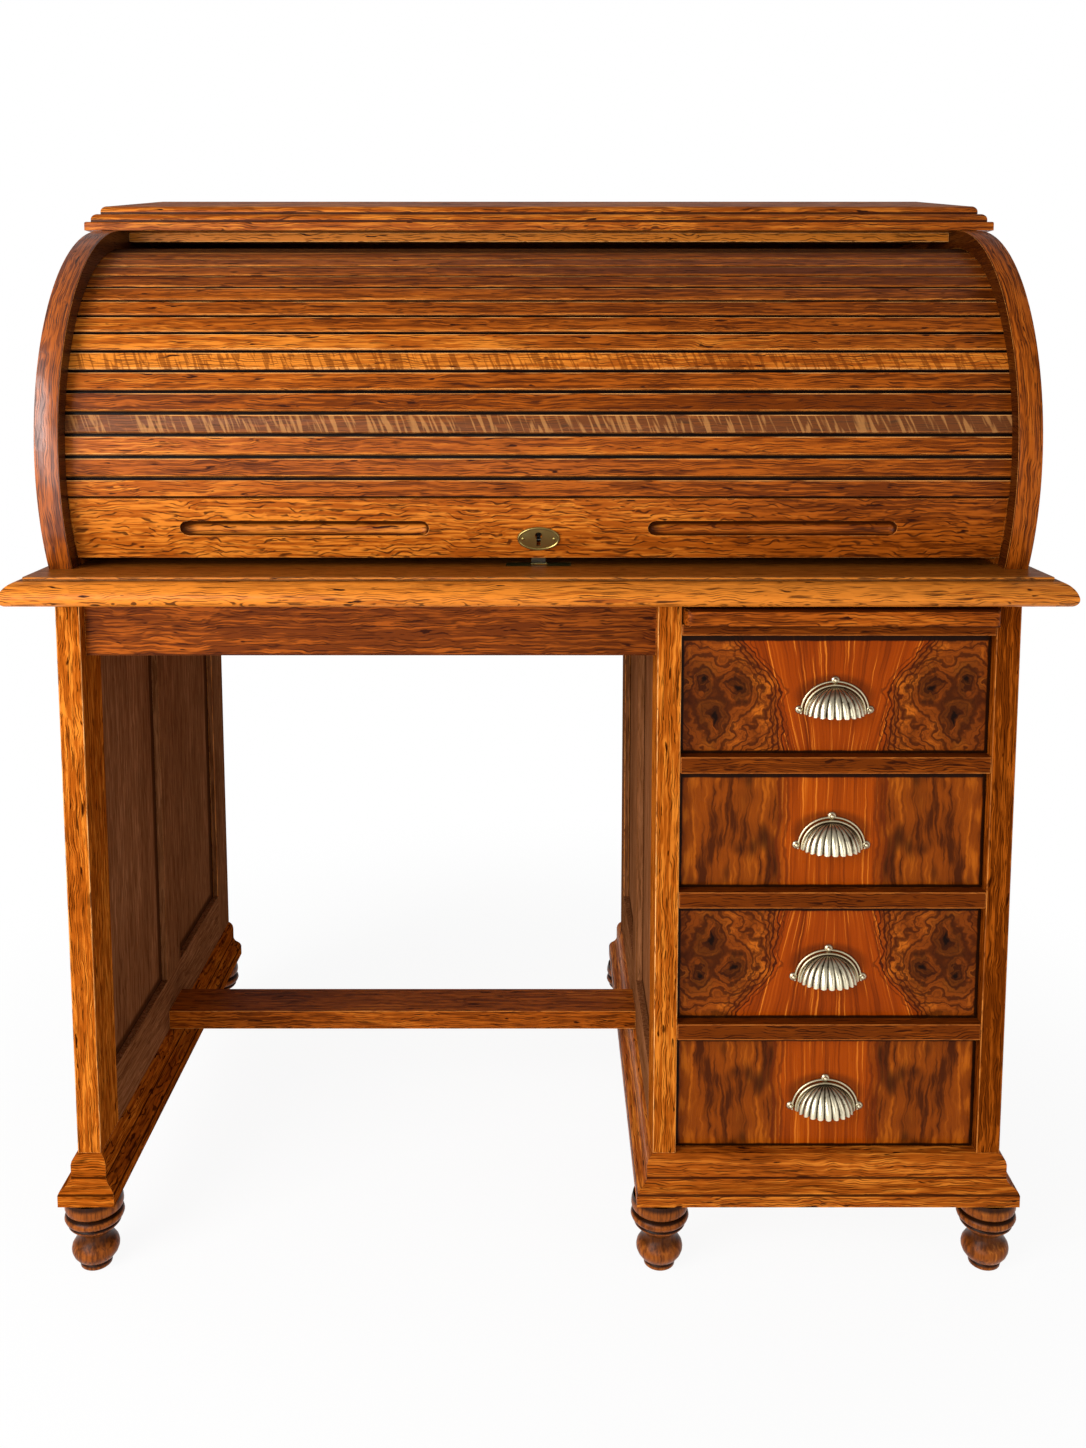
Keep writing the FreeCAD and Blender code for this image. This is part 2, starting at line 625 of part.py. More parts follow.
def build_drawer(index, pull):
    """One drawer: veneered front, dovetailed box, bottom let into grooves, and its pull."""
    name = "drawer_" + str(index + 1)
    floor = drawer_floor(index) + RUNNING_GAP
    xs = grown((BAY_LEFT, BAY_RIGHT), -DRAWER_SIDE_GAP)
    front_z = (floor, drawer_floor(index) + DRAWER_OPENING - DRAWER_TOP_GAP)
    front_y = (DRAWER_FACE, DRAWER_FACE + DRAWER_FRONT_THICKNESS)
    side_y = (front_y[1], BAY_REAR - DRAWER_REAR_GAP)
    side_z = (floor, front_z[1] - DRAWER_SIDE_DROP)
    left = (xs[0], xs[0] + DRAWER_SIDE_THICKNESS)
    right = (xs[1] - DRAWER_SIDE_THICKNESS, xs[1])
    inside = (left[1], right[0])
    bottom_z = (floor + DRAWER_BOTTOM_LIFT, floor + DRAWER_BOTTOM_LIFT + DRAWER_BOTTOM_THICKNESS)
    reach = DRAWER_GROOVE - JOINT_FIT
    bottom = box(
        grown(inside, reach),
        (front_y[1] - reach, side_y[1]),
        grown(bottom_z, -JOINT_FIT),
    )
    groove = box(grown(inside, DRAWER_GROOVE), (front_y[1] - DRAWER_GROOVE, side_y[1]), bottom_z)
    back_y = (side_y[1] - DRAWER_BACK_THICKNESS, side_y[1])
    housing = box(grown(inside, DRAWER_GROOVE), back_y, side_z)
    back_z = (bottom_z[1], side_z[1])

    sockets = tails(left, front_y[1], side_z, JOINT_FIT) + tails(right, front_y[1], side_z, JOINT_FIT)
    save(name + "_front", less(box(xs, front_y, front_z), groove, *sockets))
    sides = []
    for span in (left, right):
        board = joined(box(span, side_y, side_z), *tails(span, front_y[1], side_z, 0))
        sides.append(less(board, groove, housing))
    back = box(grown(inside, reach), back_y, back_z)
    save(name + "_box", *sides, back)
    save(name + "_bottom", bottom)
    place = Vector(DRAWER_CENTRE, DRAWER_FACE, (front_z[0] + front_z[1]) / 2 - PULL_DROP)
    save(name + "_pull", pull.translated(place))


def lobed_ring(angle):
    """Outline of the shell at one angle up its dome: lobes round the front, straight along the back."""
    shrink = math.cos(math.radians(angle))
    height = PULL_HEIGHT * math.sin(math.radians(angle))

    def point(turn, rise):
        x = -(PULL_HALF_WIDTH + rise) * shrink * math.cos(turn)
        y = -(PULL_DEPTH + rise) * shrink * math.sin(turn)
        return Vector(x, y, height)

    steps = PULL_LOBES * PULL_LOBE_CHORD_COUNT
    points = []
    for step in range(steps + 1):
        bulge = abs(math.sin(math.pi * step / PULL_LOBE_CHORD_COUNT))
        points.append(point(math.pi * step / steps, PULL_LOBE_RISE * bulge))
    return points


def hollow_ring(angle):
    """Outline of the shell's hollow at one angle up its dome."""
    shrink = math.cos(math.radians(angle))
    height = (PULL_HEIGHT - PULL_WALL) * math.sin(math.radians(angle))
    half = (PULL_HALF_WIDTH - PULL_WALL) * shrink
    depth = (PULL_DEPTH - PULL_WALL) * shrink
    points = []
    for step in range(PULL_LOBES + 1):
        turn = math.pi * step / PULL_LOBES
        points.append(Vector(-half * math.cos(turn), -depth * math.sin(turn), height))
    return points


def faceted(rings):
    """Solid through rings of points, one above the other, with a flat face between neighbouring points."""
    outlines = [rings[0], rings[-1]]
    for low, high in zip(rings, rings[1:]):
        for index in range(len(low)):
            outlines.append([low[index - 1], low[index], high[index], high[index - 1]])
    faces = [Part.Face(Part.makePolygon(outline + outline[:1])) for outline in outlines]
    return Part.makeSolid(Part.makeShell(faces))


def shell_pull():
    """Shell-shaped cup pull with a flange and three lugs, its open side down, at the origin."""
    angles = [PULL_CROWN_ANGLE * ring / (PULL_RINGS - 1) for ring in range(PULL_RINGS)]
    shell = faceted([lobed_ring(angle) for angle in angles])
    hollow = faceted([hollow_ring(angle) for angle in angles])
    width = PULL_HALF_WIDTH + PULL_FLANGE
    height = PULL_HEIGHT + PULL_FLANGE
    rim = [(-width, 0), (0, height, height / 4), (width, 0, height / 4)]
    back = Vector(0, PULL_FLANGE_THICKNESS, 0)
    flange = face_inside(rim, lambda x, z: Vector(x, -PULL_FLANGE_THICKNESS, z)).extrude(back)
    lugs = []
    for x, z in ((-width, PULL_LUG_RISE), (width, PULL_LUG_RISE), (0, height)):
        centre = Vector(x, -PULL_FLANGE_THICKNESS, z)
        lugs.append(Part.makeCylinder(PULL_LUG_RADIUS, PULL_FLANGE_THICKNESS, centre, Vector(0, 1, 0)))
    return joined(shell, flange, *lugs).cut(hollow)


def build_slide():
    """Writing slide over the drawers: its board and the lip on its front edge."""
    xs = grown((BAY_LEFT, BAY_RIGHT), -SLIDE_SIDE_GAP)
    zs = (SLIDE_FLOOR + RUNNING_GAP, SLIDE_FLOOR + RUNNING_GAP + SLIDE_THICKNESS)
    lip_y = (FRONT - SLIDE_PROUD, FRONT - SLIDE_PROUD + SLIDE_LIP_DEPTH)
    tongue_z = about((zs[0] + zs[1]) / 2, SLIDE_TONGUE_THICKNESS)
    board = joined(
        box(xs, (lip_y[1], BAY_REAR - SLIDE_REAR_GAP), zs),
        box(xs, (lip_y[1] - SLIDE_TONGUE + JOINT_FIT, lip_y[1]), grown(tongue_z, -JOINT_FIT)),
    )
    save("writing_slide_board", board)
    corner = SLIDE_LIP_CORNER
    bulge = quarter_bulge(corner)
    plan = [
        (xs[0], lip_y[1]),
        (xs[0], lip_y[0] + corner),
        (xs[0] + corner, lip_y[0], -bulge),
        (xs[1] - corner, lip_y[0]),
        (xs[1], lip_y[0] + corner, -bulge),
        (xs[1], lip_y[1]),
    ]
    ease = SLIDE_LIP_ROUND
    ease_bulge = quarter_bulge(ease)
    section = [
        (lip_y[1], zs[0]),
        (lip_y[0] + ease, zs[0]),
        (lip_y[0], zs[0] + ease, ease_bulge),
        (lip_y[0], zs[1] - ease),
        (lip_y[0] + ease, zs[1], ease_bulge),
        (lip_y[1], zs[1]),
    ]
    lip = plate_up(plan, zs).common(bar_along_x(section, xs))
    groove = box(xs, (lip_y[1] - SLIDE_TONGUE, lip_y[1]), tongue_z)
    save("writing_slide_lip", less(lip, groove))


def build_top(bolt_closed):
    """Writing top with its moulded edge, and the keeper that takes the lock's bolt."""
    widest = TOP_HEIGHT - NOSE_DROP
    moulding = [
        (NOSE_RUN, TOP_HEIGHT),
        (NOSE_RUN, TOP_HEIGHT - NOSE_QUIRK),
        (0, widest, -NOSE_SHOULDER_BULGE),
        (NOSE_UNDERCUT, FRAME_TOP, -NOSE_UNDER_BULGE),
    ]
    xs = about(0, TOP_WIDTH)
    ys = about(0, TOP_DEPTH)
    top = moulded_block(xs, ys, moulding, plain_rear=True)
    bolt = bolt_closed.BoundBox
    slot_x = grown((bolt.XMin, bolt.XMax), KEEPER_CLEARANCE)
    slot_y = grown((bolt.YMin, bolt.YMax), KEEPER_CLEARANCE)
    plate_x = about(0, KEEPER_LENGTH)
    plate_y = grown(slot_y, KEEPER_MARGIN)
    plate_z = (TOP_HEIGHT - KEEPER_THICKNESS, TOP_HEIGHT)
    slot = box(slot_x, slot_y, (bolt.ZMin - KEEPER_DEPTH, TOP_HEIGHT))
    save("writing_top", less(top, slot, box(grown(plate_x, JOINT_FIT), grown(plate_y, JOINT_FIT), plate_z)))
    save("lock_keeper", less(box(plate_x, plate_y, plate_z), slot))


def groove_band(xs, start, stop):
    """Part of a ring round the roll's axis in which the slats' ends run."""
    inner = TAMBOUR_BACK - GROOVE_CLEARANCE
    outer = math.hypot(TAMBOUR_FACE, SLAT_PITCH / 2) + GROOVE_CLEARANCE
    return ring_sector(xs, inner, outer, start, stop)


def ring_sector(xs, inner, outer, start, stop):
    """Solid between two radii and two angles round the roll's axis, along X."""
    width = xs[1] - xs[0]
    place = Vector(xs[0], AXIS_Y, AXIS_Z)

    def at(radius, angle):
        up = math.radians(angle)
        return place + Vector(0, -radius * math.cos(up), radius * math.sin(up))

    middle = (start + stop) / 2
    edges = [
        Part.Arc(at(outer, start), at(outer, middle), at(outer, stop)).toShape(),
        Part.makeLine(at(outer, stop), at(inner, stop)),
        Part.Arc(at(inner, stop), at(inner, middle), at(inner, start)).toShape(),
        Part.makeLine(at(inner, start), at(outer, start)),
    ]
    return Part.Face(Part.Wire(edges)).extrude(Vector(width, 0, 0))


def build_roll_case():
    """Curved sides with the tambour's grooves, header, moulded top board and panelled back."""
    foot_y = AXIS_Y - math.sqrt(ROLL_RADIUS ** 2 - ROLL_AXIS_RISE ** 2)
    sweep = math.degrees(math.asin(ROLL_AXIS_RISE / ROLL_RADIUS)) + 90
    bulge = ROLL_RADIUS * (1 - math.cos(math.radians(sweep / 2)))
    outline = [
        (REAR, TOP_HEIGHT),
        (foot_y, TOP_HEIGHT),
        (AXIS_Y, CASE_TOP, bulge),
        (REAR, CASE_TOP),
    ]
    lowest = RAIL_ANGLE_CLOSED - 2 * RAIL_HALF_ANGLE
    highest = TAIL_ANGLE + OPENING_ANGLE + SLAT_ANGLE / 2
    for name, inner, outer in (("left", -CASE_INSIDE, -CASE_OUTSIDE), ("right", CASE_INSIDE, CASE_OUTSIDE)):
        floor = inner + math.copysign(GROOVE_DEPTH, outer)
        groove = groove_band(sorted((inner, floor)), lowest, highest)
        save("roll_side_" + name, less(bar_along_x(outline, sorted((inner, outer))), groove))

    header_y = (AXIS_Y + HEADER_BACK, AXIS_Y + HEADER_BACK + HEADER_DEPTH)
    save("header_rail", box(about(0, 2 * CASE_INSIDE), header_y, (CASE_TOP - HEADER_HEIGHT, CASE_TOP)))
    build_crown()

    back = frame_and_panels(2 * CASE_INSIDE, CASE_TOP - TOP_HEIGHT)
    place = Vector(-CASE_INSIDE, REAR - FRAME_THICKNESS, TOP_HEIGHT)
    boards = [back["front_stile"], back["rear_stile"]] + back["rails"]
    save("roll_back_frame", *[board.translated(place) for board in boards])
    save("roll_back_panels", *[panel.translated(place) for panel in back["panels"]])


def build_crown():
    """Top board of the roll case, stepped and bevelled on its front and ends."""
    fillet = CASE_TOP + CROWN_FILLET
    ovolo = fillet + CROWN_OVOLO
    neck = ovolo + CROWN_NECK
    shoulder = CROWN_FIRST_STEP + CROWN_SECOND_STEP
    moulding = [
        (shoulder + CROWN_BEVEL_RUN, neck + CROWN_BEVEL_RISE),
        (shoulder + CROWN_ROUND, neck),
        (shoulder, neck - CROWN_ROUND, -quarter_bulge(CROWN_ROUND)),
        (shoulder, ovolo),
        (CROWN_FIRST_STEP + CROWN_ROUND, ovolo),
        (CROWN_FIRST_STEP, ovolo - CROWN_ROUND, -quarter_bulge(CROWN_ROUND)),
        (CROWN_FIRST_STEP, fillet),
        (CROWN_ARRIS, fillet),
        (0, fillet - CROWN_ARRIS, -quarter_bulge(CROWN_ARRIS)),
        (0, CASE_TOP),
    ]
    xs = grown(about(0, 2 * CASE_OUTSIDE), CROWN_END_OVERHANG)
    ys = (AXIS_Y + CROWN_FRONT_BACK, REAR + CROWN_REAR_OVERHANG)
    save("top_board", moulded_block(xs, ys, moulding, plain_rear=True))


def slat():
    """One slat of the tambour, level with the roll's axis in front of it."""
    half = math.tan(math.radians(SLAT_ANGLE / 2))
    face = TAMBOUR_FACE * half - SLAT_GAP / 2
    back = TAMBOUR_BACK * half - SLAT_GAP / 2
    strip = face - SLAT_STRIP
    quirk = TAMBOUR_FACE - SLAT_QUIRK_DEPTH
    ledge = TAMBOUR_FACE - SLAT_STRIP_DROP
    section = [
        (-back, TAMBOUR_BACK),
        (-face, TAMBOUR_FACE - SLAT_ARRIS),
        (-face + SLAT_ARRIS, TAMBOUR_FACE),
        (strip, TAMBOUR_FACE),
        (strip, quirk),
        (strip + SLAT_QUIRK_WIDTH, quirk),
        (strip + SLAT_QUIRK_WIDTH, ledge),
        (face, ledge),
        (back, TAMBOUR_BACK),
    ]
    path = [(AXIS_Y - out, AXIS_Z + up) for up, out in section]
    return bar_along_x(path, (-SLAT_REACH, SLAT_REACH))


def rail_box(xs, ups, outs):
    """Block in the lift rail's own directions: across, up the rail and out from the roll's axis."""
    return box(xs, (AXIS_Y - outs[1], AXIS_Y - outs[0]), (AXIS_Z + ups[0], AXIS_Z + ups[1]))


def rail_edge(out):
    """Height up the lift rail of its lower edge, at a distance out from the roll's axis."""
    tilt = math.radians(RAIL_ANGLE_CLOSED)
    return (CLOSED_GAP - ROLL_AXIS_RISE - out * math.sin(tilt)) / math.cos(tilt)


def closed_cut():
    """Everything under the lift rail's lower edge, with the roll closed and turned to rest."""
    depth = TOP_DEPTH
    below = box(about(0, TOP_WIDTH), (AXIS_Y - depth, AXIS_Y), (0, TOP_HEIGHT + CLOSED_GAP))
    return on_roll(below, RAIL_ANGLE - RAIL_ANGLE_CLOSED)


def keyhole(outs):
    """Keyhole cutter through the lift rail, round above a straight slot."""
    start = Vector(0, AXIS_Y - outs[1], AXIS_Z - ESCUTCHEON_DROP + KEYHOLE_RADIUS)
    depth = outs[1] - outs[0]
    eye = Part.makeCylinder(KEYHOLE_RADIUS, depth, start, Vector(0, 1, 0))
    slot_up = (start.z - AXIS_Z - KEYHOLE_SLOT_LENGTH, start.z - AXIS_Z)
    return eye.fuse(rail_box(about(0, KEYHOLE_SLOT_WIDTH), slot_up, outs))


def finger_groove(centre):
    """Cutter for the groove in the lift rail's face for the fingertips, round at both ends."""
    y = AXIS_Y - TAMBOUR_FACE - FINGER_GROOVE_RADIUS + FINGER_GROOVE_DEPTH
    ends = about(centre, FINGER_GROOVE_LENGTH)
    radius = FINGER_GROOVE_RADIUS
    path = in_chords([
        (ends[0], 0),
        (ends[0] + radius, radius, quarter_bulge(radius)),
        (ends[1] - radius, radius),
        (ends[1], 0, quarter_bulge(radius)),
    ], FINGER_GROOVE_CHORD_COUNT)
    return face_inside(path, lambda x, r: Vector(x, y + r, AXIS_Z)).revolve(Vector(0, y, AXIS_Z), ACROSS, 360)


def build_lift_rail(below):
    """Lift rail with its tongues, finger grooves, keyhole and the seats for canvas and lock."""
    half = LIFT_RAIL_HEIGHT / 2
    back = TAMBOUR_FACE - LIFT_RAIL_THICKNESS
    end = CASE_INSIDE - LIFT_RAIL_END_GAP
    board = rail_box(about(0, 2 * end), (-2 * half, half), (back, TAMBOUR_FACE))
    tongue = ring_sector(
        about(0, 2 * SLAT_REACH), TAMBOUR_BACK, TAMBOUR_FACE,
        -2 * RAIL_HALF_ANGLE, RAIL_HALF_ANGLE,
    )
    ends = less(tongue, rail_box(about(0, 2 * end), (-4 * half, 2 * half), (0, 2 * TAMBOUR_FACE)))
    rebate = rail_box(about(0, 2 * end), (half - CANVAS_LAP, half), (back, TAMBOUR_BACK))
    lock = rail_box(
        grown(about(0, LOCK_WIDTH), JOINT_FIT),
        (-2 * half, rail_edge(back + LOCK_DEPTH / 2) + LOCK_HEIGHT + JOINT_FIT),
        (back, back + LOCK_DEPTH + JOINT_FIT),
    )
    top = RAIL_HALF_ANGLE - math.degrees(SLAT_GAP / 2 / TAMBOUR_FACE)
    above = ring_sector(about(0, 2 * SLAT_REACH), back / 2, 2 * TAMBOUR_FACE, top, 2 * RAIL_HALF_ANGLE)
    rail = less(
        joined(board, *ends.Solids),
        above, rebate, lock, keyhole((back, TAMBOUR_FACE)),
        finger_groove(-FINGER_GROOVE_CENTRE), finger_groove(FINGER_GROOVE_CENTRE),
    )
    save("lift_rail", on_roll(rail, RAIL_ANGLE).cut(below))


def build_lock(below):
    """Lock case in the back of the lift rail, its bolt and the escutcheon; gives the bolt as it closes."""
    half = LIFT_RAIL_HEIGHT / 2
    back = TAMBOUR_FACE - LIFT_RAIL_THICKNESS
    bolt_out = about(back + LOCK_DEPTH / 2, BOLT_THICKNESS)
    edge = rail_edge(back + LOCK_DEPTH / 2)
    case_up = (-2 * half, edge + LOCK_HEIGHT)
    case = rail_box(about(0, LOCK_WIDTH), case_up, (back, back + LOCK_DEPTH))
    hollow = rail_box(
        grown(about(0, LOCK_WIDTH), -LOCK_WALL),
        (edge + LOCK_WALL, edge + LOCK_HEIGHT - LOCK_WALL),
        grown((back, back + LOCK_DEPTH), -LOCK_WALL),
    )
    way = rail_box(
        grown(about(0, BOLT_WIDTH), BOLT_FIT),
        (-2 * half, edge + LOCK_HEIGHT / 2),
        grown(bolt_out, BOLT_FIT),
    )
    bolt = rail_box(about(0, BOLT_WIDTH), (edge - BOLT_THROW, edge - BOLT_THROW + BOLT_LENGTH), bolt_out)
    case = less(case, hollow, way, keyhole((back + LOCK_DEPTH / 2, TAMBOUR_FACE)))
    save("lock_case", on_roll(case, RAIL_ANGLE).cut(below))
    save("lock_bolt", on_roll(bolt, RAIL_ANGLE))

    outs = (TAMBOUR_FACE, TAMBOUR_FACE + ESCUTCHEON_THICKNESS)
    centre = Vector(0, AXIS_Y - outs[1], AXIS_Z - ESCUTCHEON_DROP)
    oval = Part.Ellipse(
        centre + Vector(ESCUTCHEON_HALF_WIDTH, 0, 0), centre + Vector(0, 0, ESCUTCHEON_HALF_HEIGHT), centre,
    )
    plate = Part.Face(Part.Wire(oval.toShape())).extrude(Vector(0, ESCUTCHEON_THICKNESS, 0))
    save("escutcheon", on_roll(less(plate, keyhole(outs)), RAIL_ANGLE))
    return on_roll(bolt, RAIL_ANGLE_CLOSED)


def build_tambour():
    """Slats, canvas, lift rail and lock; gives the bolt as it stands when the roll is closed."""
    first = RAIL_ANGLE + RAIL_HALF_ANGLE + SLAT_ANGLE / 2
    one = slat()
    save("tambour_slats", *[on_roll(one, first + index * SLAT_ANGLE) for index in range(SLAT_COUNT)])
    outer = TAMBOUR_BACK - JOINT_FIT
    inner = outer - CANVAS_THICKNESS
    lap = math.degrees(math.asin((LIFT_RAIL_HEIGHT / 2 - CANVAS_LAP + CANVAS_END_GAP) / inner))
    end = TAIL_ANGLE - math.degrees(CANVAS_END_GAP / inner)
    wide = about(0, 2 * (CASE_INSIDE - CANVAS_EDGE))
    save("tambour_canvas", ring_sector(wide, inner, outer, RAIL_ANGLE + lap, end))
    below = closed_cut()
    build_lift_rail(below)
    return build_lock(below)


def build_gallery():
    """Pigeonholes that stand on the writing top inside the roll case."""
    wide = about(0, 2 * CASE_INSIDE)
    front = FRONT + GALLERY_SETBACK
    ys = (front, front + GALLERY_DEPTH)
    shelf = TOP_HEIGHT + GALLERY_LOWER
    upper = shelf + GALLERY_BOARD
    cover = upper + GALLERY_UPPER
    shelves = [box(wide, ys, (z, z + GALLERY_BOARD)) for z in (shelf, cover)]
    uprights = []
    for bays, zs in ((GALLERY_LOWER_BAYS, (TOP_HEIGHT, shelf)), (GALLERY_UPPER_BAYS, (upper, cover))):
        pitch = (2 * CASE_INSIDE - GALLERY_BOARD) / bays
        for index in range(bays + 1):
            x = wide[0] + index * pitch
            uprights.append(box((x, x + GALLERY_BOARD), ys, zs))
    save("gallery_shelves", *shelves)
    save("gallery_uprights", *uprights)
    save("gallery_back", box(wide, (ys[1], ys[1] + GALLERY_BACK), (TOP_HEIGHT, cover + GALLERY_BOARD)))


def main():
    """Build every node of the desk."""
    os.makedirs("parts", exist_ok=True)
    build_base()
    build_frames()
    pull = shell_pull()
    for index in range(DRAWER_COUNT):
        build_drawer(index, pull)
    build_slide()
    build_top(build_tambour())
    build_roll_case()
    build_gallery()


if __name__ == "__main__":
    main()
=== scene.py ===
import logging
import math
from dataclasses import dataclass
from enum import Enum
from typing import Iterable, Sequence

import bmesh
import bpy
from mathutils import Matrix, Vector


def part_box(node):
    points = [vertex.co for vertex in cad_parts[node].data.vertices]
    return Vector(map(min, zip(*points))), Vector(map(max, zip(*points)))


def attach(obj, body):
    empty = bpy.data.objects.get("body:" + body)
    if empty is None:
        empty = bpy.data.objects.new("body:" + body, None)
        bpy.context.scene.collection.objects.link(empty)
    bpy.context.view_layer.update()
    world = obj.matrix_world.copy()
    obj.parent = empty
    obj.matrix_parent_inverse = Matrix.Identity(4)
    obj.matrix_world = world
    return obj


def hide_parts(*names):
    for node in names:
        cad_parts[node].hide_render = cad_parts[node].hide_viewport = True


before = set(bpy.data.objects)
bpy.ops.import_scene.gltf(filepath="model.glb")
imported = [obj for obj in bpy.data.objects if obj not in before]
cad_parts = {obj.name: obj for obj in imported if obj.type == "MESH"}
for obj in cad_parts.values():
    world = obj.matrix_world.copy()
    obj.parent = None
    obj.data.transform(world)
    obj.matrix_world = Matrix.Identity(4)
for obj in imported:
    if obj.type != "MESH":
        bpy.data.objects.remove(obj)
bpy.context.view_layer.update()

LOG = logging.getLogger("desk")

Colour = tuple[float, float, float]
Point = tuple[float, float, float]
Material = bpy.types.Material
Mesh = bpy.types.Mesh
Node = bpy.types.Node
Socket = bpy.types.NodeSocket
Stops = Sequence[tuple[float, object]]

# The roll's axis and the tambour's track, in metres, as in the CAD part
AXIS_RISE = 0.116
AXIS_Y = -0.033
AXIS_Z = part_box("writing_top")[1].z + AXIS_RISE
TRACK_FACE = 0.233
TRACK_BACK = 0.223
RAIL_HALF_HEIGHT = 0.0345
RAISED_GAP = 0.010
GROOVE_CENTRE = 0.247
GROOVE_HALF = 0.132
SLAT_PITCH = 0.0228
SLAT_COUNT = 20
RAIL_HALF_ANGLE = math.atan(RAIL_HALF_HEIGHT / TRACK_FACE)
RAIL_DIP = math.asin((RAISED_GAP - AXIS_RISE) / math.hypot(TRACK_FACE, RAIL_HALF_HEIGHT))
RAIL_ANGLE = RAIL_DIP + RAIL_HALF_ANGLE
FIRST_SLAT_ANGLE = RAIL_ANGLE + RAIL_HALF_ANGLE
SLAT_ANGLE = SLAT_PITCH / TRACK_FACE

# Where the painted shade under the header begins on the slats, and how far the painted light falls off to the
# right on the rail and slats
HEADER_SHADE = math.radians(74.5)
FADE_REACH = 0.46

# Widths of eased edges, in metres
EASED = 0.0009
WELL_EASED = 0.0013
ROUNDED = 0.0016
LINING_EASED = 0.0006
THIN_EASED = 0.0004

# Angle above which an edge is eased, and the gaps that are welded in CAD nodes and in new meshes
EASE_ANGLE = math.radians(38)
NODE_WELD = 0.00002
MESH_WELD = 0.00001

# Roughness of the varnish, and strength and depth of the grain's bump
VARNISH_ROUGHNESS = 0.22
GRAIN_BUMP = 0.22
GRAIN_DEPTH = 0.0007


class Grain(Enum):
    """Direction in which the wood's grain runs."""

    ACROSS = "X"
    BACK = "Y"
    UP = "Z"
    BOWED = "Y on the flat, round the roll on the edge"
    MITRED = "Y on the sides, X elsewhere"


class Graph:
    """Adds and links nodes in one shader tree."""

    def __init__(self, tree: bpy.types.NodeTree) -> None:
        """Start on the tree of a material, a group or the world."""
        self.tree = tree

    def feed(self, socket: Socket, value: object) -> None:
        """Link a socket to another, or set its value.

        Args:
            socket: Input socket.
            value: Output socket to link from, or a plain value.
        """
        if isinstance(value, Socket):
            self.tree.links.new(value, socket)
        elif isinstance(value, tuple) and len(value) == 3 and socket.type == "RGBA":
            socket.default_value = (*value, 1.0)
        else:
            socket.default_value = value

    def node(self, kind: str, inputs: dict | None = None, **props: object) -> Node:
        """Add a node.

        Args:
            kind: Blender's type name of the node.
            inputs: Values or sockets for its inputs, by name or index.
            **props: Properties of the node.

        Returns:
            The new node.
        """
        made = self.tree.nodes.new(kind)
        for name, value in props.items():
            setattr(made, name, value)
        for key, value in (inputs or {}).items():
            self.feed(made.inputs[key], value)
        return made

    def math(self, operation: str, a: object, b: object = 0.0, c: object = 0.0) -> Socket:
        """Output of a math node with up to three values."""
        return self.node("ShaderNodeMath", {0: a, 1: b, 2: c}, operation=operation).outputs[0]

    def times(self, a: object, b: object) -> Socket:
        """Product of two values."""
        return self.math("MULTIPLY", a, b)

    def scaled(self, a: object, by: object, plus: object) -> Socket:
        """Product of two values, plus a third."""
        return self.math("MULTIPLY_ADD", a, by, plus)

    def less(self, a: object, b: object) -> Socket:
        """First value less the second."""
        return self.math("SUBTRACT", a, b)

    def larger(self, a: object, b: object) -> Socket:
        """Larger of two values."""
        return self.math("MAXIMUM", a, b)

    def size(self, a: object) -> Socket:
        """Value without its sign."""
        return self.math("ABSOLUTE", a)

    def numbered(self, value: object, number: int) -> Socket:
        """1 where a counted value has the number, and 0 elsewhere."""
        return self.math("COMPARE", value, float(number), 0.4)

    def vector(self, operation: str, a: object, b: object) -> Socket:
        """Output of a vector math node, which is a number for a distance or length."""
        made = self.node("ShaderNodeVectorMath", {0: a, 1: b}, operation=operation)
        return made.outputs["Value" if operation in ("DISTANCE", "LENGTH") else "Vector"]

    def noise(
        self, vector: object, scale: Point, detail: float = 2.0, roughness: float = 0.5,
        distortion: float = 0.0,
    ) -> Socket:
        """Add a noise texture with its own scale along each axis.

        Args:
            vector: Place at which the noise is read.
            scale: Features per metre along X, Y and Z.
            detail: Number of finer layers.
            roughness: Share of the finer layers.
            distortion: How far the noise bends itself.

        Returns:
            The noise, about 0.5.
        """
        inputs = {
            "Vector": self.vector("MULTIPLY", vector, scale), "Scale": 1.0, "Detail": detail,
            "Roughness": roughness, "Distortion": distortion,
        }
        return self.node("ShaderNodeTexNoise", inputs).outputs[0]

    def swirl(self, vector: object, scale: float, detail: float, roughness: float) -> Socket:
        """Noise of three numbers about 0, by which a place can be bent."""
        inputs = {"Vector": vector, "Scale": scale, "Detail": detail, "Roughness": roughness}
        made = self.node("ShaderNodeTexNoise", inputs)
        return self.vector("SUBTRACT", made.outputs["Color"], (0.5, 0.5, 0.5))

    def span(self, value: object, low: object, high: object) -> Socket:
        """Map a value smoothly to 0 at low and 1 at high, which may be below low."""
        inputs = {"Value": value, "From Min": low, "From Max": high}
        return self.node("ShaderNodeMapRange", inputs, interpolation_type="SMOOTHSTEP").outputs["Result"]

    def mix(self, factor: object, a: object, b: object) -> Socket:
        """Mix two colours.

        Args:
            factor: Share of the second colour.
            a: First colour.
            b: Second colour.

        Returns:
            The mixed colour.
        """
        made = self.node("ShaderNodeMix", data_type="RGBA")
        for index, value in ((0, factor), (6, a), (7, b)):
            self.feed(made.inputs[index], value)
        return made.outputs[2]

    def ramp(self, value: object, stops: Stops) -> Socket:
        """Mix through a row of colours.

        Args:
            value: Where to read it.
            stops: Place and colour of each stop; a colour may be a socket.

        Returns:
            The colour.
        """
        colour = stops[0][1]
        for (low, _), (high, after) in zip(stops, stops[1:]):
            colour = self.mix(self.span(value, low, high), colour, after)
        return colour

    def split(self, vector: object) -> tuple[Socket, ...]:
        """Three numbers of a vector."""
        return tuple(self.node("ShaderNodeSeparateXYZ", {0: vector}).outputs)

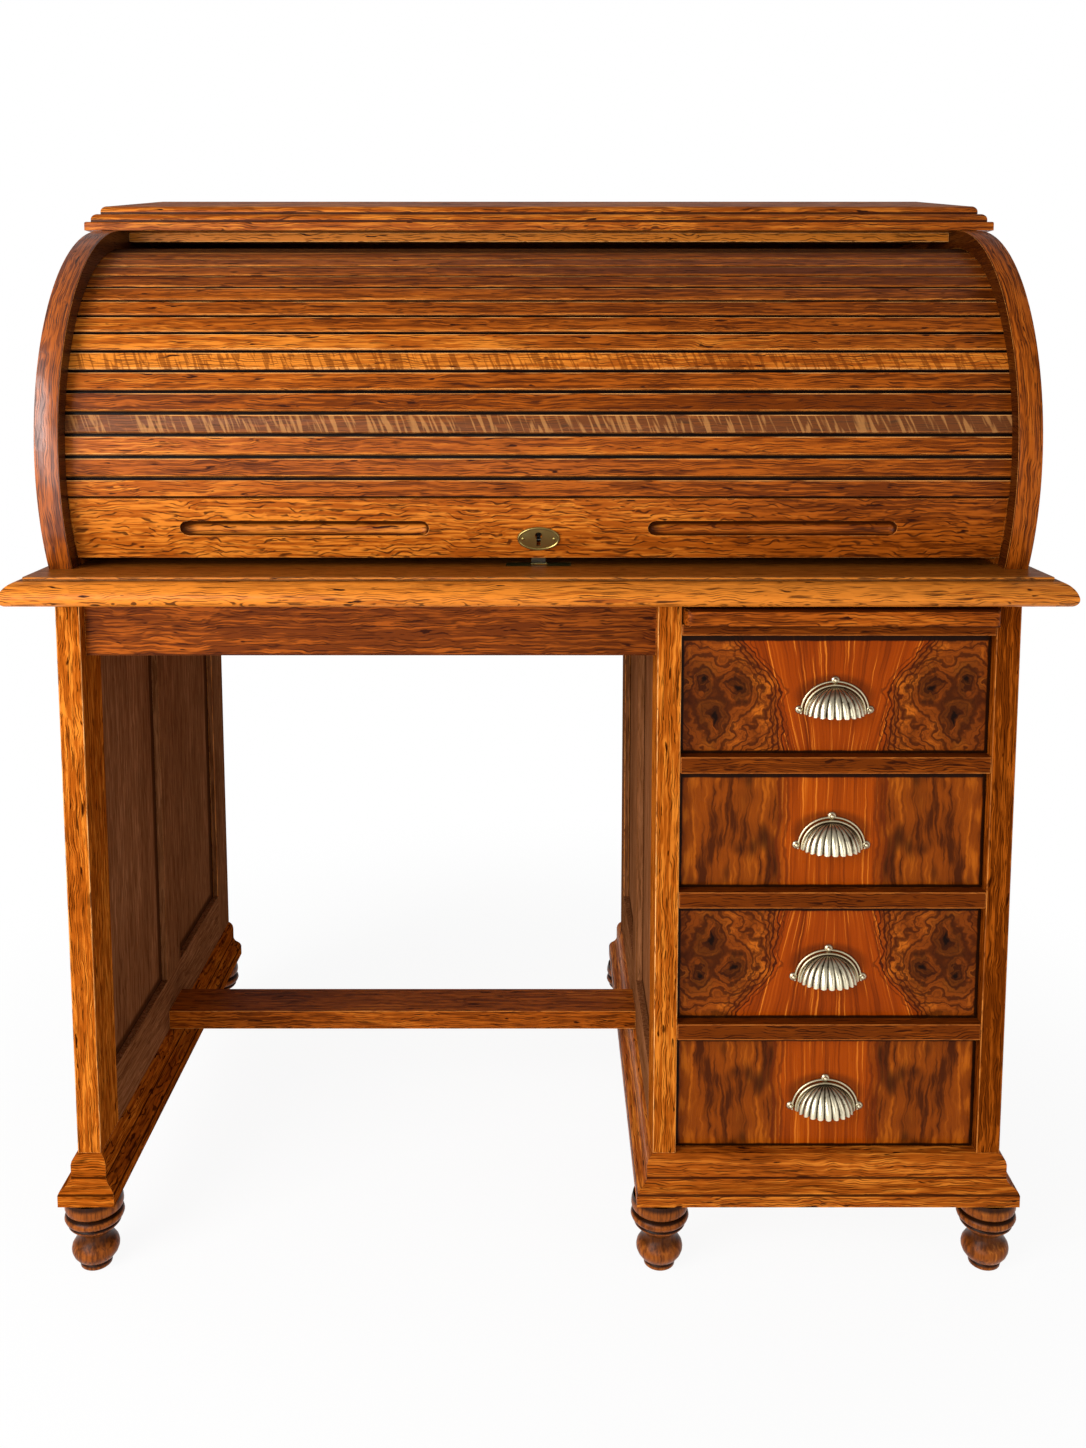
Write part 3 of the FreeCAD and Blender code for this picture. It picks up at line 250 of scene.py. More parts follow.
    def join(self, x: object, y: object, z: object) -> Socket:
        """Vector of three numbers."""
        return self.node("ShaderNodeCombineXYZ", {0: x, 1: y, 2: z}).outputs[0]

    def place(self) -> Socket:
        """Place on the object at rest, in metres."""
        return self.node("ShaderNodeTexCoord").outputs["Object"]


class GroupKit:
    """The shader node groups that the finishes share, each made once."""

    pale_thread: Colour = (0.655, 0.1755, 0.0140)

    def __init__(self) -> None:
        """Start with no group."""
        self.made: dict[str, bpy.types.NodeTree] = {}

    def start(self, name: str, inputs: dict[str, str], outputs: dict[str, str]) -> tuple[Graph, dict, Node]:
        """Open a new group.

        Args:
            name: Name of the group.
            inputs: Socket type of each named input.
            outputs: Socket type of each named output.

        Returns:
            Its graph, its inputs by name and its output node.
        """
        tree = bpy.data.node_groups.new(name, "ShaderNodeTree")
        for sockets, way in ((inputs, "INPUT"), (outputs, "OUTPUT")):
            for label, kind in sockets.items():
                tree.interface.new_socket(label, in_out=way, socket_type="NodeSocket" + kind)
        graph = Graph(tree)
        source = graph.node("NodeGroupInput")
        self.made[name] = tree
        return graph, {label: source.outputs[label] for label in inputs}, graph.node("NodeGroupOutput")

    def use(self, graph: Graph, name: str, inputs: dict[str, object]) -> Node:
        """Add a group to a material, making it first if need be.

        Args:
            graph: The material's graph.
            name: Name of the group.
            inputs: Values or sockets of its inputs.

        Returns:
            The group's node.
        """
        if name not in self.made:
            getattr(self, "make_" + name)()
        made = graph.node("ShaderNodeGroup", node_tree=self.made[name])
        for label, value in inputs.items():
            graph.feed(made.inputs[label], value)
        return made

    def make_wood_grain(self) -> None:
        """Wood with figure, streaks and open pores; the grain runs along X."""
        g, given, out = self.start(
            "wood_grain",
            {
                "Vector": "Vector", "Seed": "Float", "Tone": "Float", "Pores": "Float",
                "Deep": "Color", "Mid": "Color", "Light": "Color", "Pore": "Color",
            },
            {"Color": "Color", "Roughness": "Float", "Height": "Float"},
        )
        shift = g.join(*(g.times(given["Seed"], step) for step in (3.71, 1.37, 2.23)))
        at = g.vector("ADD", given["Vector"], shift)
        sway = g.less(g.noise(at, (16.0, 26.0, 26.0), 2.0), 0.5)
        ripple = g.less(g.noise(at, (62.0, 55.0, 55.0), 1.0), 0.5)
        bend = g.scaled(sway, 0.008, g.times(ripple, 0.0020))
        at = g.vector("ADD", at, g.join(0.0, bend, bend))
        figure = g.noise(at, (1.9, 24.0, 24.0), 3.0, 0.55, 0.4)
        streak = g.span(g.noise(at, (15.0, 330.0, 330.0), 2.0, 0.6), 0.34, 0.66)
        patch = g.noise(at, (4.5, 9.0, 9.0), 2.0)
        level = g.scaled(figure, 0.38, g.scaled(streak, 0.28, 0.33))
        level = g.math("ADD", g.scaled(patch, 0.32, level), given["Tone"])
        colour = g.ramp(level, [(0.55, given["Deep"]), (0.82, given["Mid"]), (1.06, given["Light"])])
        _, side, depth = g.split(at)
        across = g.scaled(depth, 0.8, side)
        wave = g.noise(at, (26.0, 62.0, 62.0), 2.0, 0.55)
        line = g.span(g.math("SINE", g.scaled(across, 2700.0, g.times(wave, 15.0))), 0.42, 0.92)
        broken = g.span(g.noise(at, (46.0, 190.0, 190.0), 1.0), 0.40, 0.58)
        dash = g.span(g.noise(at, (22.0, 560.0, 560.0), 1.0), 0.40, 0.30)
        pore = g.larger(g.times(g.times(line, broken), 0.84), g.times(dash, 0.85))
        dent = g.span(g.noise(at, (34.0, 210.0, 210.0), 2.0, 0.5), 0.665, 0.720)
        pore = g.times(g.larger(pore, dent), given["Pores"])
        g.feed(out.inputs["Color"], g.mix(pore, colour, given["Pore"]))
        g.feed(out.inputs["Roughness"], g.scaled(pore, 0.25, 0.34))
        g.feed(out.inputs["Height"], g.less(g.times(streak, 0.25), pore))

    def make_dirt_band(self) -> None:
        """Painted shade between two places, fading at both ends."""
        g, given, out = self.start(
            "dirt_band",
            {"Place": "Float", "Low": "Float", "High": "Float", "Soft": "Float", "Share": "Float"},
            {"Mask": "Float"},
        )
        above = g.span(given["Place"], g.less(given["Low"], given["Soft"]), given["Low"])
        below = g.span(given["Place"], g.math("ADD", given["High"], given["Soft"]), given["High"])
        g.feed(out.inputs["Mask"], g.times(g.times(above, below), given["Share"]))

    def start_leaf(self, name: str) -> tuple[Graph, Node, Socket, Socket, Socket, Socket]:
        """Open the group of a book-matched leaf of veneer.

        Args:
            name: Name of the group.

        Returns:
            Its graph, its output node, its seed, and the places across, up and away from the middle.
        """
        g, given, out = self.start(
            name, {"Vector": "Vector", "Seed": "Float"}, {"Color": "Color", "Roughness": "Float"},
        )
        x, _, z = g.split(given["Vector"])
        return g, out, given["Seed"], x, z, g.size(x)

    def threads(
        self, g: Graph, band: Socket, fine: Point, coarse: Point, stops: Stops, share: float,
    ) -> Socket:
        """Straight-grained middle of a leaf, with pale threads.

        Args:
            g: The group's graph.
            band: Place in the middle band.
            fine: Threads per metre.
            coarse: Wide streaks per metre.
            stops: Places and colours of the streaks.
            share: How much the pale threads show.

        Returns:
            The colour.
        """
        thread = g.noise(band, fine, 2.0, 0.6)
        streak = g.noise(band, coarse, 2.0)
        middle = g.ramp(g.scaled(streak, 0.5, g.times(thread, 0.5)), stops)
        return g.mix(g.times(g.span(thread, 0.60, 0.66), share), middle, self.pale_thread)

    def seam(
        self, g: Graph, edge: Socket, near: tuple[float, float], far: tuple[float, float], rate: float,
    ) -> Socket:
        """Dark lines beside the seam between a leaf's middle and its sides.

        Args:
            g: The group's graph.
            edge: Uneven distance from the middle.
            near: Where the lines begin and are full.
            far: Where they end and are still full.
            rate: How close together they are.

        Returns:
            How dark the lines are.
        """
        beside = g.times(g.span(edge, *near), g.span(edge, *far))
        return g.times(beside, g.span(g.math("SINE", g.times(edge, rate)), 0.0, 0.9))

    def make_burr_veneer(self) -> None:
        """Book-matched burr: knots with contours round them at the sides, a fanned band in the middle."""
        g, out, seed, x, z, side = self.start_leaf("burr_veneer")
        flat = g.join(side, z, seed)
        swirl = g.swirl(flat, 34.0, 3.0, 0.55)
        fine = g.swirl(flat, 120.0, 2.0, 0.6)
        bent = g.vector("ADD", flat, g.vector("MULTIPLY", swirl, (0.040, 0.040, 0.0)))
        bent = g.vector("ADD", bent, g.vector("MULTIPLY", fine, (0.005, 0.005, 0.0)))
        squat = 0.8
        pressed = g.vector("MULTIPLY", bent, (1.0, squat, 0.0))
        nearest: object = 1.0
        for knot_x, knot_z in ((0.140, 0.011), (0.102, 0.007), (0.129, -0.028)):
            gap = g.vector("DISTANCE", pressed, (knot_x, knot_z * squat, 0.0))
            nearest = g.math("SMOOTH_MIN", nearest, gap, 0.014)
        cloud = g.noise(bent, (28.0, 22.0, 1.0), 2.0, 0.5)
        uneven = g.scaled(cloud, 17.0, g.times(nearest, 700.0))
        line = g.span(g.math("SINE", uneven), 0.15, 0.95)
        thin = g.span(g.math("SINE", g.times(uneven, 2.7)), 0.35, 0.95)
        blotch = g.noise(bent, (48.0, 36.0, 1.0), 3.0, 0.6)
        island = g.ramp(
            g.scaled(cloud, 0.35, g.times(blotch, 0.75)),
            [
                (0.38, (0.082, 0.0152, 0.0012)), (0.54, (0.234, 0.0456, 0.0030)),
                (0.70, (0.468, 0.1076, 0.0070)),
            ],
        )
        island = g.mix(g.times(line, 0.78), island, (0.042, 0.0073, 0.0009))
        island = g.mix(g.times(thin, 0.42), island, (0.058, 0.0099, 0.0011))
        smoke = g.times(g.span(nearest, 0.034, 0.009), g.span(blotch, 0.36, 0.54))
        island = g.mix(g.times(smoke, 0.80), island, (0.023, 0.0044, 0.0007))
        island = g.mix(g.span(nearest, 0.0070, 0.0025), island, (0.007, 0.0016, 0.0005))
        bend_x, bend_z, _ = g.split(swirl)
        fan = g.math("DIVIDE", x, g.scaled(z, 4.5, 1.0))
        band = g.join(g.math("ADD", fan, g.times(bend_x, 0.004)), z, seed)
        stops = [
            (0.36, (0.140, 0.0187, 0.0007)), (0.52, (0.269, 0.0374, 0.0009)), (0.70, (0.421, 0.0725, 0.0026)),
        ]
        middle = self.threads(g, band, (420.0, 6.0, 1.0), (70.0, 4.0, 1.0), stops, 0.8)
        edge = g.scaled(bend_z, 0.034, g.scaled(g.span(z, -0.004, 0.066), -0.044, side))
        colour = g.mix(g.span(edge, 0.052, 0.064), middle, island)
        lines = self.seam(g, edge, (0.044, 0.054), (0.086, 0.064), 1050.0)
        g.feed(out.inputs["Color"], g.mix(lines, colour, (0.053, 0.0076, 0.0008)))
        g.feed(out.inputs["Roughness"], g.scaled(line, 0.06, 0.28))

    def make_crotch_veneer(self) -> None:
        """Book-matched crotch figure: dark streaks down the sides and a plain orange band in the middle."""
        g, out, seed, x, z, side = self.start_leaf("crotch_veneer")
        flat = g.join(side, z, seed)
        swirl = g.swirl(flat, 26.0, 3.0, 0.6)
        bent = g.vector("ADD", flat, g.vector("MULTIPLY", swirl, (0.016, 0.010, 0.0)))
        streak = g.noise(bent, (210.0, 14.0, 1.0), 3.0, 0.6)
        cloud = g.noise(bent, (38.0, 17.0, 1.0), 2.0, 0.5)
        figure = g.ramp(
            g.scaled(streak, 0.52, g.times(cloud, 0.63)),
            [
                (0.44, (0.058, 0.0105, 0.0009)), (0.58, (0.211, 0.0398, 0.0018)),
                (0.74, (0.433, 0.1006, 0.0049)),
            ],
        )
        smoke = g.noise(flat, (30.0, 13.0, 1.0), 2.0, 0.5)
        figure = g.mix(g.times(g.span(smoke, 0.49, 0.64), 0.88), figure, (0.020, 0.0042, 0.0008))
        bend_x, bend_z, _ = g.split(swirl)
        band = g.join(g.math("ADD", x, g.times(bend_x, 0.005)), z, seed)
        stops = [
            (0.36, (0.175, 0.0246, 0.0007)), (0.52, (0.310, 0.0468, 0.0009)), (0.70, (0.468, 0.0913, 0.0028)),
        ]
        middle = self.threads(g, band, (430.0, 5.0, 1.0), (75.0, 4.0, 1.0), stops, 0.7)
        edge = g.scaled(bend_z, 0.020, side)
        colour = g.mix(g.span(edge, 0.042, 0.062), middle, figure)
        lines = self.seam(g, edge, (0.040, 0.050), (0.072, 0.056), 700.0)
        g.feed(out.inputs["Color"], g.mix(g.times(lines, 0.8), colour, (0.111, 0.0158, 0.0012)))
        g.feed(out.inputs["Roughness"], g.scaled(smoke, 0.08, 0.24))

    def make_aged_metal(self) -> None:
        """Metal with uneven polish and grime, darker still where it is given tarnish and painted reflection.
        """
        g, given, out = self.start(
            "aged_metal",
            {"Vector": "Vector", "Hollow": "Float", "Bright": "Color", "Dull": "Color", "Polish": "Float"},
            {"Color": "Color", "Roughness": "Float"},
        )
        cloud = g.noise(given["Vector"], (60.0, 60.0, 60.0), 3.0, 0.6)
        speck = g.noise(given["Vector"], (420.0, 420.0, 420.0), 2.0, 0.6)
        dirt = g.scaled(g.span(cloud, 0.50, 0.72), 0.35, given["Hollow"])
        dirt = g.math("MINIMUM", g.scaled(g.span(speck, 0.60, 0.74), 0.25, dirt), 1.0)
        g.feed(out.inputs["Color"], g.mix(dirt, given["Bright"], given["Dull"]))
        g.feed(out.inputs["Roughness"], g.scaled(dirt, 0.30, given["Polish"]))

    def make_plain_weave(self) -> None:
        """Coarse cloth of over-and-under threads."""
        g, given, out = self.start(
            "plain_weave",
            {"Vector": "Vector", "Pale": "Color", "Dark": "Color"},
            {"Color": "Color", "Height": "Float"},
        )
        rate = 5200.0
        x, y, _ = g.split(given["Vector"])
        crossing = g.times(g.math("SINE", g.times(x, rate)), g.math("SINE", g.times(y, rate)))
        over = g.span(crossing, -0.8, 0.8)
        stain = g.noise(given["Vector"], (9.0, 9.0, 9.0), 3.0)
        tone = g.scaled(over, 0.45, g.times(stain, 0.6))
        g.feed(out.inputs["Color"], g.mix(tone, given["Dark"], given["Pale"]))
        g.feed(out.inputs["Height"], over)


GROUPS = GroupKit()


def new_material(name: str) -> tuple[Graph, Node]:
    """Make an empty material with one principled shader.

    Args:
        name: Name of the material.

    Returns:
        Its graph and its shader.
    """
    material = bpy.data.materials.new(name)
    material.use_nodes = True
    graph = Graph(material.node_tree)
    graph.tree.nodes.clear()
    shader = graph.node("ShaderNodeBsdfPrincipled")
    target = graph.node("ShaderNodeOutputMaterial")
    graph.feed(target.inputs["Surface"], shader.outputs[0])
    return graph, shader


def add_bump(graph: Graph, shader: Node, height: object, strength: float, distance: float) -> None:
    """Give a shader a bump of some strength, with its depth in metres."""
    bump = graph.node("ShaderNodeBump", {"Strength": strength, "Distance": distance, "Height": height})
    graph.feed(shader.inputs["Normal"], bump.outputs[0])


def overlay(graph: Graph, shader: Node, share: object, colour: Colour) -> None:
    """Lay a share of one more colour over what already drives a shader's colour."""
    under = shader.inputs["Base Color"].links[0].from_socket
    graph.feed(shader.inputs["Base Color"], graph.mix(share, under, colour))


def roll_polar(graph: Graph, y: object, z: object) -> tuple[Socket, Socket]:
    """Angle and distance of a place round the roll's axis.

    Args:
        graph: The material's graph.
        y: Second number of the place.
        z: Third number of the place.

    Returns:
        Angle up from the front, in radians, and distance in metres.
    """
    front = graph.less(AXIS_Y, y)
    up = graph.less(z, AXIS_Z)
    radius = graph.math("SQRT", graph.scaled(front, front, graph.times(up, up)))
    return graph.math("ARCTAN2", up, front), radius


@dataclass(frozen=True)
class WoodTint:
    """Colours of one kind of wood, linear.

    Args:
        deep: Late wood.
        mid: Most of the surface.
        light: Early wood.
        pore: Open pores.
    """

    deep: Colour
    mid: Colour
    light: Colour
    pore: Colour


OAK = WoodTint(
    (0.125, 0.023, 0.0012), (0.335, 0.072, 0.0045), (0.620, 0.185, 0.0180), (0.030, 0.0050, 0.0005),
)
SHADED_OAK = WoodTint(
    (0.114, 0.037, 0.0105), (0.228, 0.083, 0.0290), (0.360, 0.147, 0.0600), (0.046, 0.0134, 0.0038),
)
# Lighter oak of eased edges and arrises: wear, with a painted highlight
WORN_AND_HIGHLIGHT_OAK = WoodTint(
    (0.300, 0.078, 0.0090), (0.560, 0.185, 0.0280), (0.800, 0.360, 0.1000), (0.090, 0.0190, 0.0025),
)
TURNED_OAK = WoodTint(
    (0.100, 0.023, 0.0024), (0.245, 0.060, 0.0066), (0.460, 0.140, 0.0190), (0.012, 0.0030, 0.0006),
)
# Near-black oak, painted shadow for the gaps round the drawer fronts
GAP_SHADOW_OAK = WoodTint(
    (0.008, 0.0020, 0.0006), (0.018, 0.0045, 0.0010), (0.050, 0.0120, 0.0020), (0.004, 0.0012, 0.0004),
)
LINING = WoodTint(
    (0.330, 0.190, 0.0800), (0.470, 0.300, 0.1450), (0.600, 0.420, 0.2350), (0.210, 0.1100, 0.0450),
)

# Looks that several boards share: seen in shade, without gloss, unvarnished, and waxed
SHADED = {"tint": SHADED_OAK, "pores": 0.55, "coat": 0.0, "gloss": 0.0}
MATT = {"coat": 0.0, "gloss": 0.0}
BARE = {"tint": LINING, "pores": 0.4, "coat": 0.0}
WAXED = {"tint": LINING, "pores": 0.5, "coat": 0.05}


@dataclass(frozen=True)
class Band:
    """Stretch of a board painted darker, mostly as painted shade in creases, corners, gaps and under
    overhangs.

    Args:
        low: Where it begins, in metres.
        high: Where it ends.
        share: How dark it is.
        axis: Number of the axis along which it is measured.
        soft: Width over which it fades at each end.
    """

    low: float
    high: float
    share: float
    axis: int = 2
    soft: float = 0.0006


@dataclass(frozen=True)
class WoodFinish:
    """Varnished wood of one board.

    Args:
        name: Name of the material.
        grain: Direction of the grain.
        seed: Number that sets one board off from another.
        tone: Shift of its lightness.
        tint: Its colours.
        pores: How strongly the pores show.
        coat: Weight of the varnish.
        gloss: Level of the wood's own reflection.
        soiled: Bands of painted shade.
        upright: Heights between which, and the distance from the middle beyond which, the
            boards stand upright.
    """

    name: str
    grain: Grain
    seed: float = 0.0
    tone: float = 0.0
    tint: WoodTint = OAK
    pores: float = 1.0
    coat: float = 0.02
    gloss: float = 0.06
    soiled: tuple[Band, ...] = ()
    upright: tuple[float, ...] = ()

    def along_grain(self, graph: Graph) -> Socket:
        """Turn the place so that its first number runs with the grain.

        Args:
            graph: The material's graph.

        Returns:
            The turned place.
        """
        at = graph.place()
        x, y, z = graph.split(at)
        standing, back = graph.join(z, x, y), graph.join(y, x, z)
        if self.grain is Grain.UP:
            return standing
        if self.grain in (Grain.ACROSS, Grain.BACK):
            lying = at if self.grain is Grain.ACROSS else back
            if not self.upright:
                return lying
            low, high, end = self.upright
            between = graph.times(graph.math("GREATER_THAN", z, low), graph.math("LESS_THAN", z, high))
            between = graph.larger(between, graph.math("GREATER_THAN", graph.size(x), end))
            return graph.mix(between, lying, standing)
        facing = graph.split(graph.node("ShaderNodeTexCoord").outputs["Normal"])
        aside, ahead = graph.size(facing[0]), graph.size(facing[1])
        if self.grain is Grain.MITRED:
            return graph.mix(graph.math("GREATER_THAN", aside, ahead), at, back)
        angle, radius = roll_polar(graph, y, z)
        bowed = graph.join(graph.times(angle, TRACK_FACE), x, radius)
        return graph.mix(graph.math("GREATER_THAN", aside, 0.7), bowed, back)

    def material(self) -> Material:
        """Make the material.

        Returns:
            The material.
        """
        graph, shader = new_material(self.name)
        self.fill(graph, shader, self.along_grain(graph), self.seed, self.tone)
        self.soil(graph, shader)
        return bpy.data.materials[self.name]

    def soil(self, graph: Graph, shader: Node) -> None:
        """Paint shade into the bands where it falls.

        Args:
            graph: The material's graph.
            shader: The shader, already driven with the wood.
        """
        if not self.soiled:
            return
        places = graph.split(graph.place())
        dirt: object = 0.0
        for band in self.soiled:
            shade = GROUPS.use(graph, "dirt_band", {
                "Place": places[band.axis], "Low": band.low, "High": band.high, "Soft": band.soft,
                "Share": band.share,
            })
            dirt = graph.larger(dirt, shade.outputs["Mask"])
        overlay(graph, shader, dirt, self.tint.pore)

    def fill(self, graph: Graph, shader: Node, at: object, seed: object, tone: object) -> None:
        """Drive a shader with the wood.

        Args:
            graph: The material's graph.
            shader: The shader.
            at: Place along the grain.
            seed: Number of the board.
            tone: Shift of its lightness.
        """
        tint = self.tint
        wood = GROUPS.use(graph, "wood_grain", {
            "Vector": at, "Seed": seed, "Tone": tone, "Pores": self.pores,
            "Deep": tint.deep, "Mid": tint.mid, "Light": tint.light, "Pore": tint.pore,
        })
        graph.feed(shader.inputs["Base Color"], wood.outputs["Color"])
        graph.feed(shader.inputs["Roughness"], wood.outputs["Roughness"])
        shader.inputs["Coat Weight"].default_value = self.coat
        shader.inputs["Coat Roughness"].default_value = VARNISH_ROUGHNESS
        shader.inputs["Specular IOR Level"].default_value = self.gloss
        add_bump(graph, shader, wood.outputs["Height"], GRAIN_BUMP, GRAIN_DEPTH)


@dataclass(frozen=True)
class SlatFinish(WoodFinish):
    """Varnished slats, each with its own tone and figure.

    Args:
        flecked: Slat with pale flecks, counted from the lift rail.
        striped: Slat with dark cross stripes.
        tones: Slats that differ, with the shift of their tone.
        arris: Shares of the pitch at which the lighter arris, rubbed by wear and with a painted highlight,
            begins, is full, fades and ends.
        joint: Shares of the pitch at which the dark joint begins, is full, fades and ends.
        stripe_lean: How far flecks and stripes lean, in metres for each radian round the roll.
    """

    flecked: int = 3
    striped: int = 6
    tones: tuple[tuple[int, float], ...] = (
        (0, -0.02), (1, 0.03), (2, -0.03), (3, -0.26), (6, 0.20), (7, 0.12), (8, 0.06),
    )
    arris: tuple[float, ...] = (0.782, 0.806, 0.816, 0.830)
    joint: tuple[float, ...] = (0.816, 0.838, 0.968, 0.996)
    stripe_lean: float = 0.09

    def material(self) -> Material:
        """Make the material.

        Returns:
            The material.
        """
        graph, shader = new_material(self.name)
        x, y, z = graph.split(graph.place())
        angle, radius = roll_polar(graph, y, z)
        turn = graph.math("DIVIDE", graph.less(angle, FIRST_SLAT_ANGLE), SLAT_ANGLE)
        index = graph.math("FLOOR", turn)
        at = graph.join(x, graph.times(angle, TRACK_FACE), radius)
        seed = graph.scaled(index, 1.618, self.seed)
        self.fill(graph, shader, at, seed, self.slat_tone(graph, index, x))
        slant = graph.vector("ADD", at, graph.join(graph.times(angle, self.stripe_lean), 0.0, 0.0))
        self.figure(graph, shader, index, slant)
        part = graph.math("FRACT", turn)
        # Lighter arris along each slat's top edge: wear, with a painted highlight
        patchy = graph.span(graph.noise(at, (24.0, 40.0, 40.0), 2.0), 0.36, 0.60)
        arris = graph.times(self.line(graph, part, self.arris), graph.times(patchy, 0.8))
        overlay(graph, shader, arris, WORN_AND_HIGHLIGHT_OAK.light)
        # Painted shade in the slats' sunken parts and, near-black, on the slats under the header, laid in one
        # colour with the dark joints
        side = graph.span(radius, TRACK_FACE - 0.0012, TRACK_FACE - 0.0020)
        dark = graph.larger(self.line(graph, part, self.joint), side)
        under = graph.times(graph.span(angle, HEADER_SHADE - 0.04, HEADER_SHADE + 0.02), 0.90)
        foot = graph.times(graph.numbered(index, 0), graph.span(part, 0.12, 0.07))
        overlay(graph, shader, graph.larger(graph.larger(dark, under), foot), (0.004, 0.0011, 0.0004))
        return bpy.data.materials[self.name]

    def line(self, graph: Graph, part: Socket, ends: tuple[float, ...]) -> Socket:
        """Line along each slat, between four shares of the pitch."""
        return graph.times(graph.span(part, ends[0], ends[1]), graph.span(part, ends[3], ends[2]))

    def slat_tone(self, graph: Graph, index: Socket, x: Socket) -> Socket:
        """Lightness of each slat, which differs from slat to slat, falls a little with each slat up, and is
        painted darker to the right where the light falls off.

        Args:
            graph: The material's graph.
            index: Number of the slat.
            x: Place along the slat.

        Returns:
            The shift of its lightness.
        """
        chance = graph.node("ShaderNodeTexWhiteNoise", {"W": index}, noise_dimensions="1D").outputs["Value"]
        tone = graph.scaled(chance, 0.20, self.tone - 0.10)
        for slat, lift in self.tones:
            tone = graph.scaled(graph.numbered(index, slat), lift, tone)
        tone = graph.scaled(index, -0.008, tone)
        # Painted light: the slats darker to the right, where the light falls off
        return graph.scaled(graph.span(x, -FADE_REACH, FADE_REACH), -0.14, graph.math("ADD", tone, 0.06))

    def figure(self, graph: Graph, shader: Node, index: Socket, slant: Socket) -> None:
        """Add the flecks of one slat and the stripes of another.

        Args:
            graph: The material's graph.
            shader: The shader, already driven with the wood.
            index: Number of the slat.
            slant: Leaning place along the slat.
        """
        marked = graph.numbered(index, self.flecked)
        fleck = graph.span(graph.noise(slant, (165.0, 22.0, 22.0), 2.0, 0.6, 0.4), 0.490, 0.610)
        overlay(graph, shader, graph.times(marked, 0.42), (0.140, 0.060, 0.0240))
        overlay(graph, shader, graph.times(graph.times(marked, fleck), 0.52), (0.480, 0.210, 0.0600))
        stripe = graph.span(graph.noise(slant, (190.0, 26.0, 26.0), 2.0, 0.6, 0.6), 0.49, 0.58)
        stripe = graph.times(graph.numbered(index, self.striped), stripe)
        overlay(graph, shader, graph.times(stripe, 0.62), OAK.deep)


@dataclass(frozen=True)
class RailFinish(WoodFinish):
    """Varnished lift rail, with painted light that falls off to the right and painted shade in its finger
    grooves.
    """

    def material(self) -> Material:
        """Make the material.

        Returns:
            The material.
        """
        graph, shader = new_material(self.name)
        x, y, z = graph.split(graph.place())
        # Painted light: the rail darker to the right, where the light falls off
        tone = graph.scaled(graph.span(x, -FADE_REACH, FADE_REACH), -0.24, self.tone + 0.09)
        self.fill(graph, shader, self.along_grain(graph), self.seed, tone)
        back, rise = graph.less(y, AXIS_Y), graph.less(z, AXIS_Z)
        cos, sin = math.cos(RAIL_ANGLE), math.sin(RAIL_ANGLE)
        out = graph.scaled(back, -cos, graph.times(rise, sin))
        up = graph.scaled(back, sin, graph.times(rise, cos))
        along = graph.times(graph.less(graph.size(x), GROOVE_CENTRE), graph.math("SIGN", x))
        # Painted shade in the finger grooves: darker on the upper wall, at the lower edge and at both ends,
        # lighter on the floor
        floor = graph.span(out, TRACK_FACE - 0.0036, TRACK_FACE - 0.0056)
        shade = graph.scaled(floor, -0.30, 0.40)
        for place, clear, full, share in (
            (up, -0.0012, 0.0036, 0.88), (up, -0.0066, -0.0082, 0.62),
            (along, 0.020 - GROOVE_HALF, 0.004 - GROOVE_HALF, 0.75),
            (along, GROOVE_HALF - 0.007, GROOVE_HALF - 0.002, 0.62),
        ):
            shade = graph.scaled(graph.span(place, clear, full), share, shade)
        sunk = graph.span(out, TRACK_FACE - 0.0002, TRACK_FACE - 0.0012)
        inside = graph.span(graph.size(up), 0.0105, 0.0095)
        dirt = graph.times(graph.times(sunk, inside), graph.math("MINIMUM", shade, 0.95))
        overlay(graph, shader, dirt, self.tint.pore)
        return bpy.data.materials[self.name]


@dataclass(frozen=True)
class SideFinish(WoodFinish):
    """Varnished roll side with painted shade on its inner face beside the slats.

    Args:
        inner: Place of its inner face.
        reach: Radius at which the painted shade ends.
    """

    inner: float = 0.0
    reach: float = 0.264

    def material(self) -> Material:
        """Make the material.

        Returns:
            The material.
        """
        graph, shader = new_material(self.name)
        self.fill(graph, shader, self.along_grain(graph), self.seed, self.tone)
        x, y, z = graph.split(graph.place())
        # Painted shade on the inner face, where the slats' ends meet it
        near = graph.span(graph.size(graph.less(x, self.inner)), 0.0016, 0.0008)
        ring = GROUPS.use(graph, "dirt_band", {
            "Place": roll_polar(graph, y, z)[1], "Low": TRACK_FACE - 0.002, "High": self.reach,
            "Soft": 0.006, "Share": 0.86,
        })
        overlay(graph, shader, graph.times(near, ring.outputs["Mask"]), self.tint.pore)
        return bpy.data.materials[self.name]


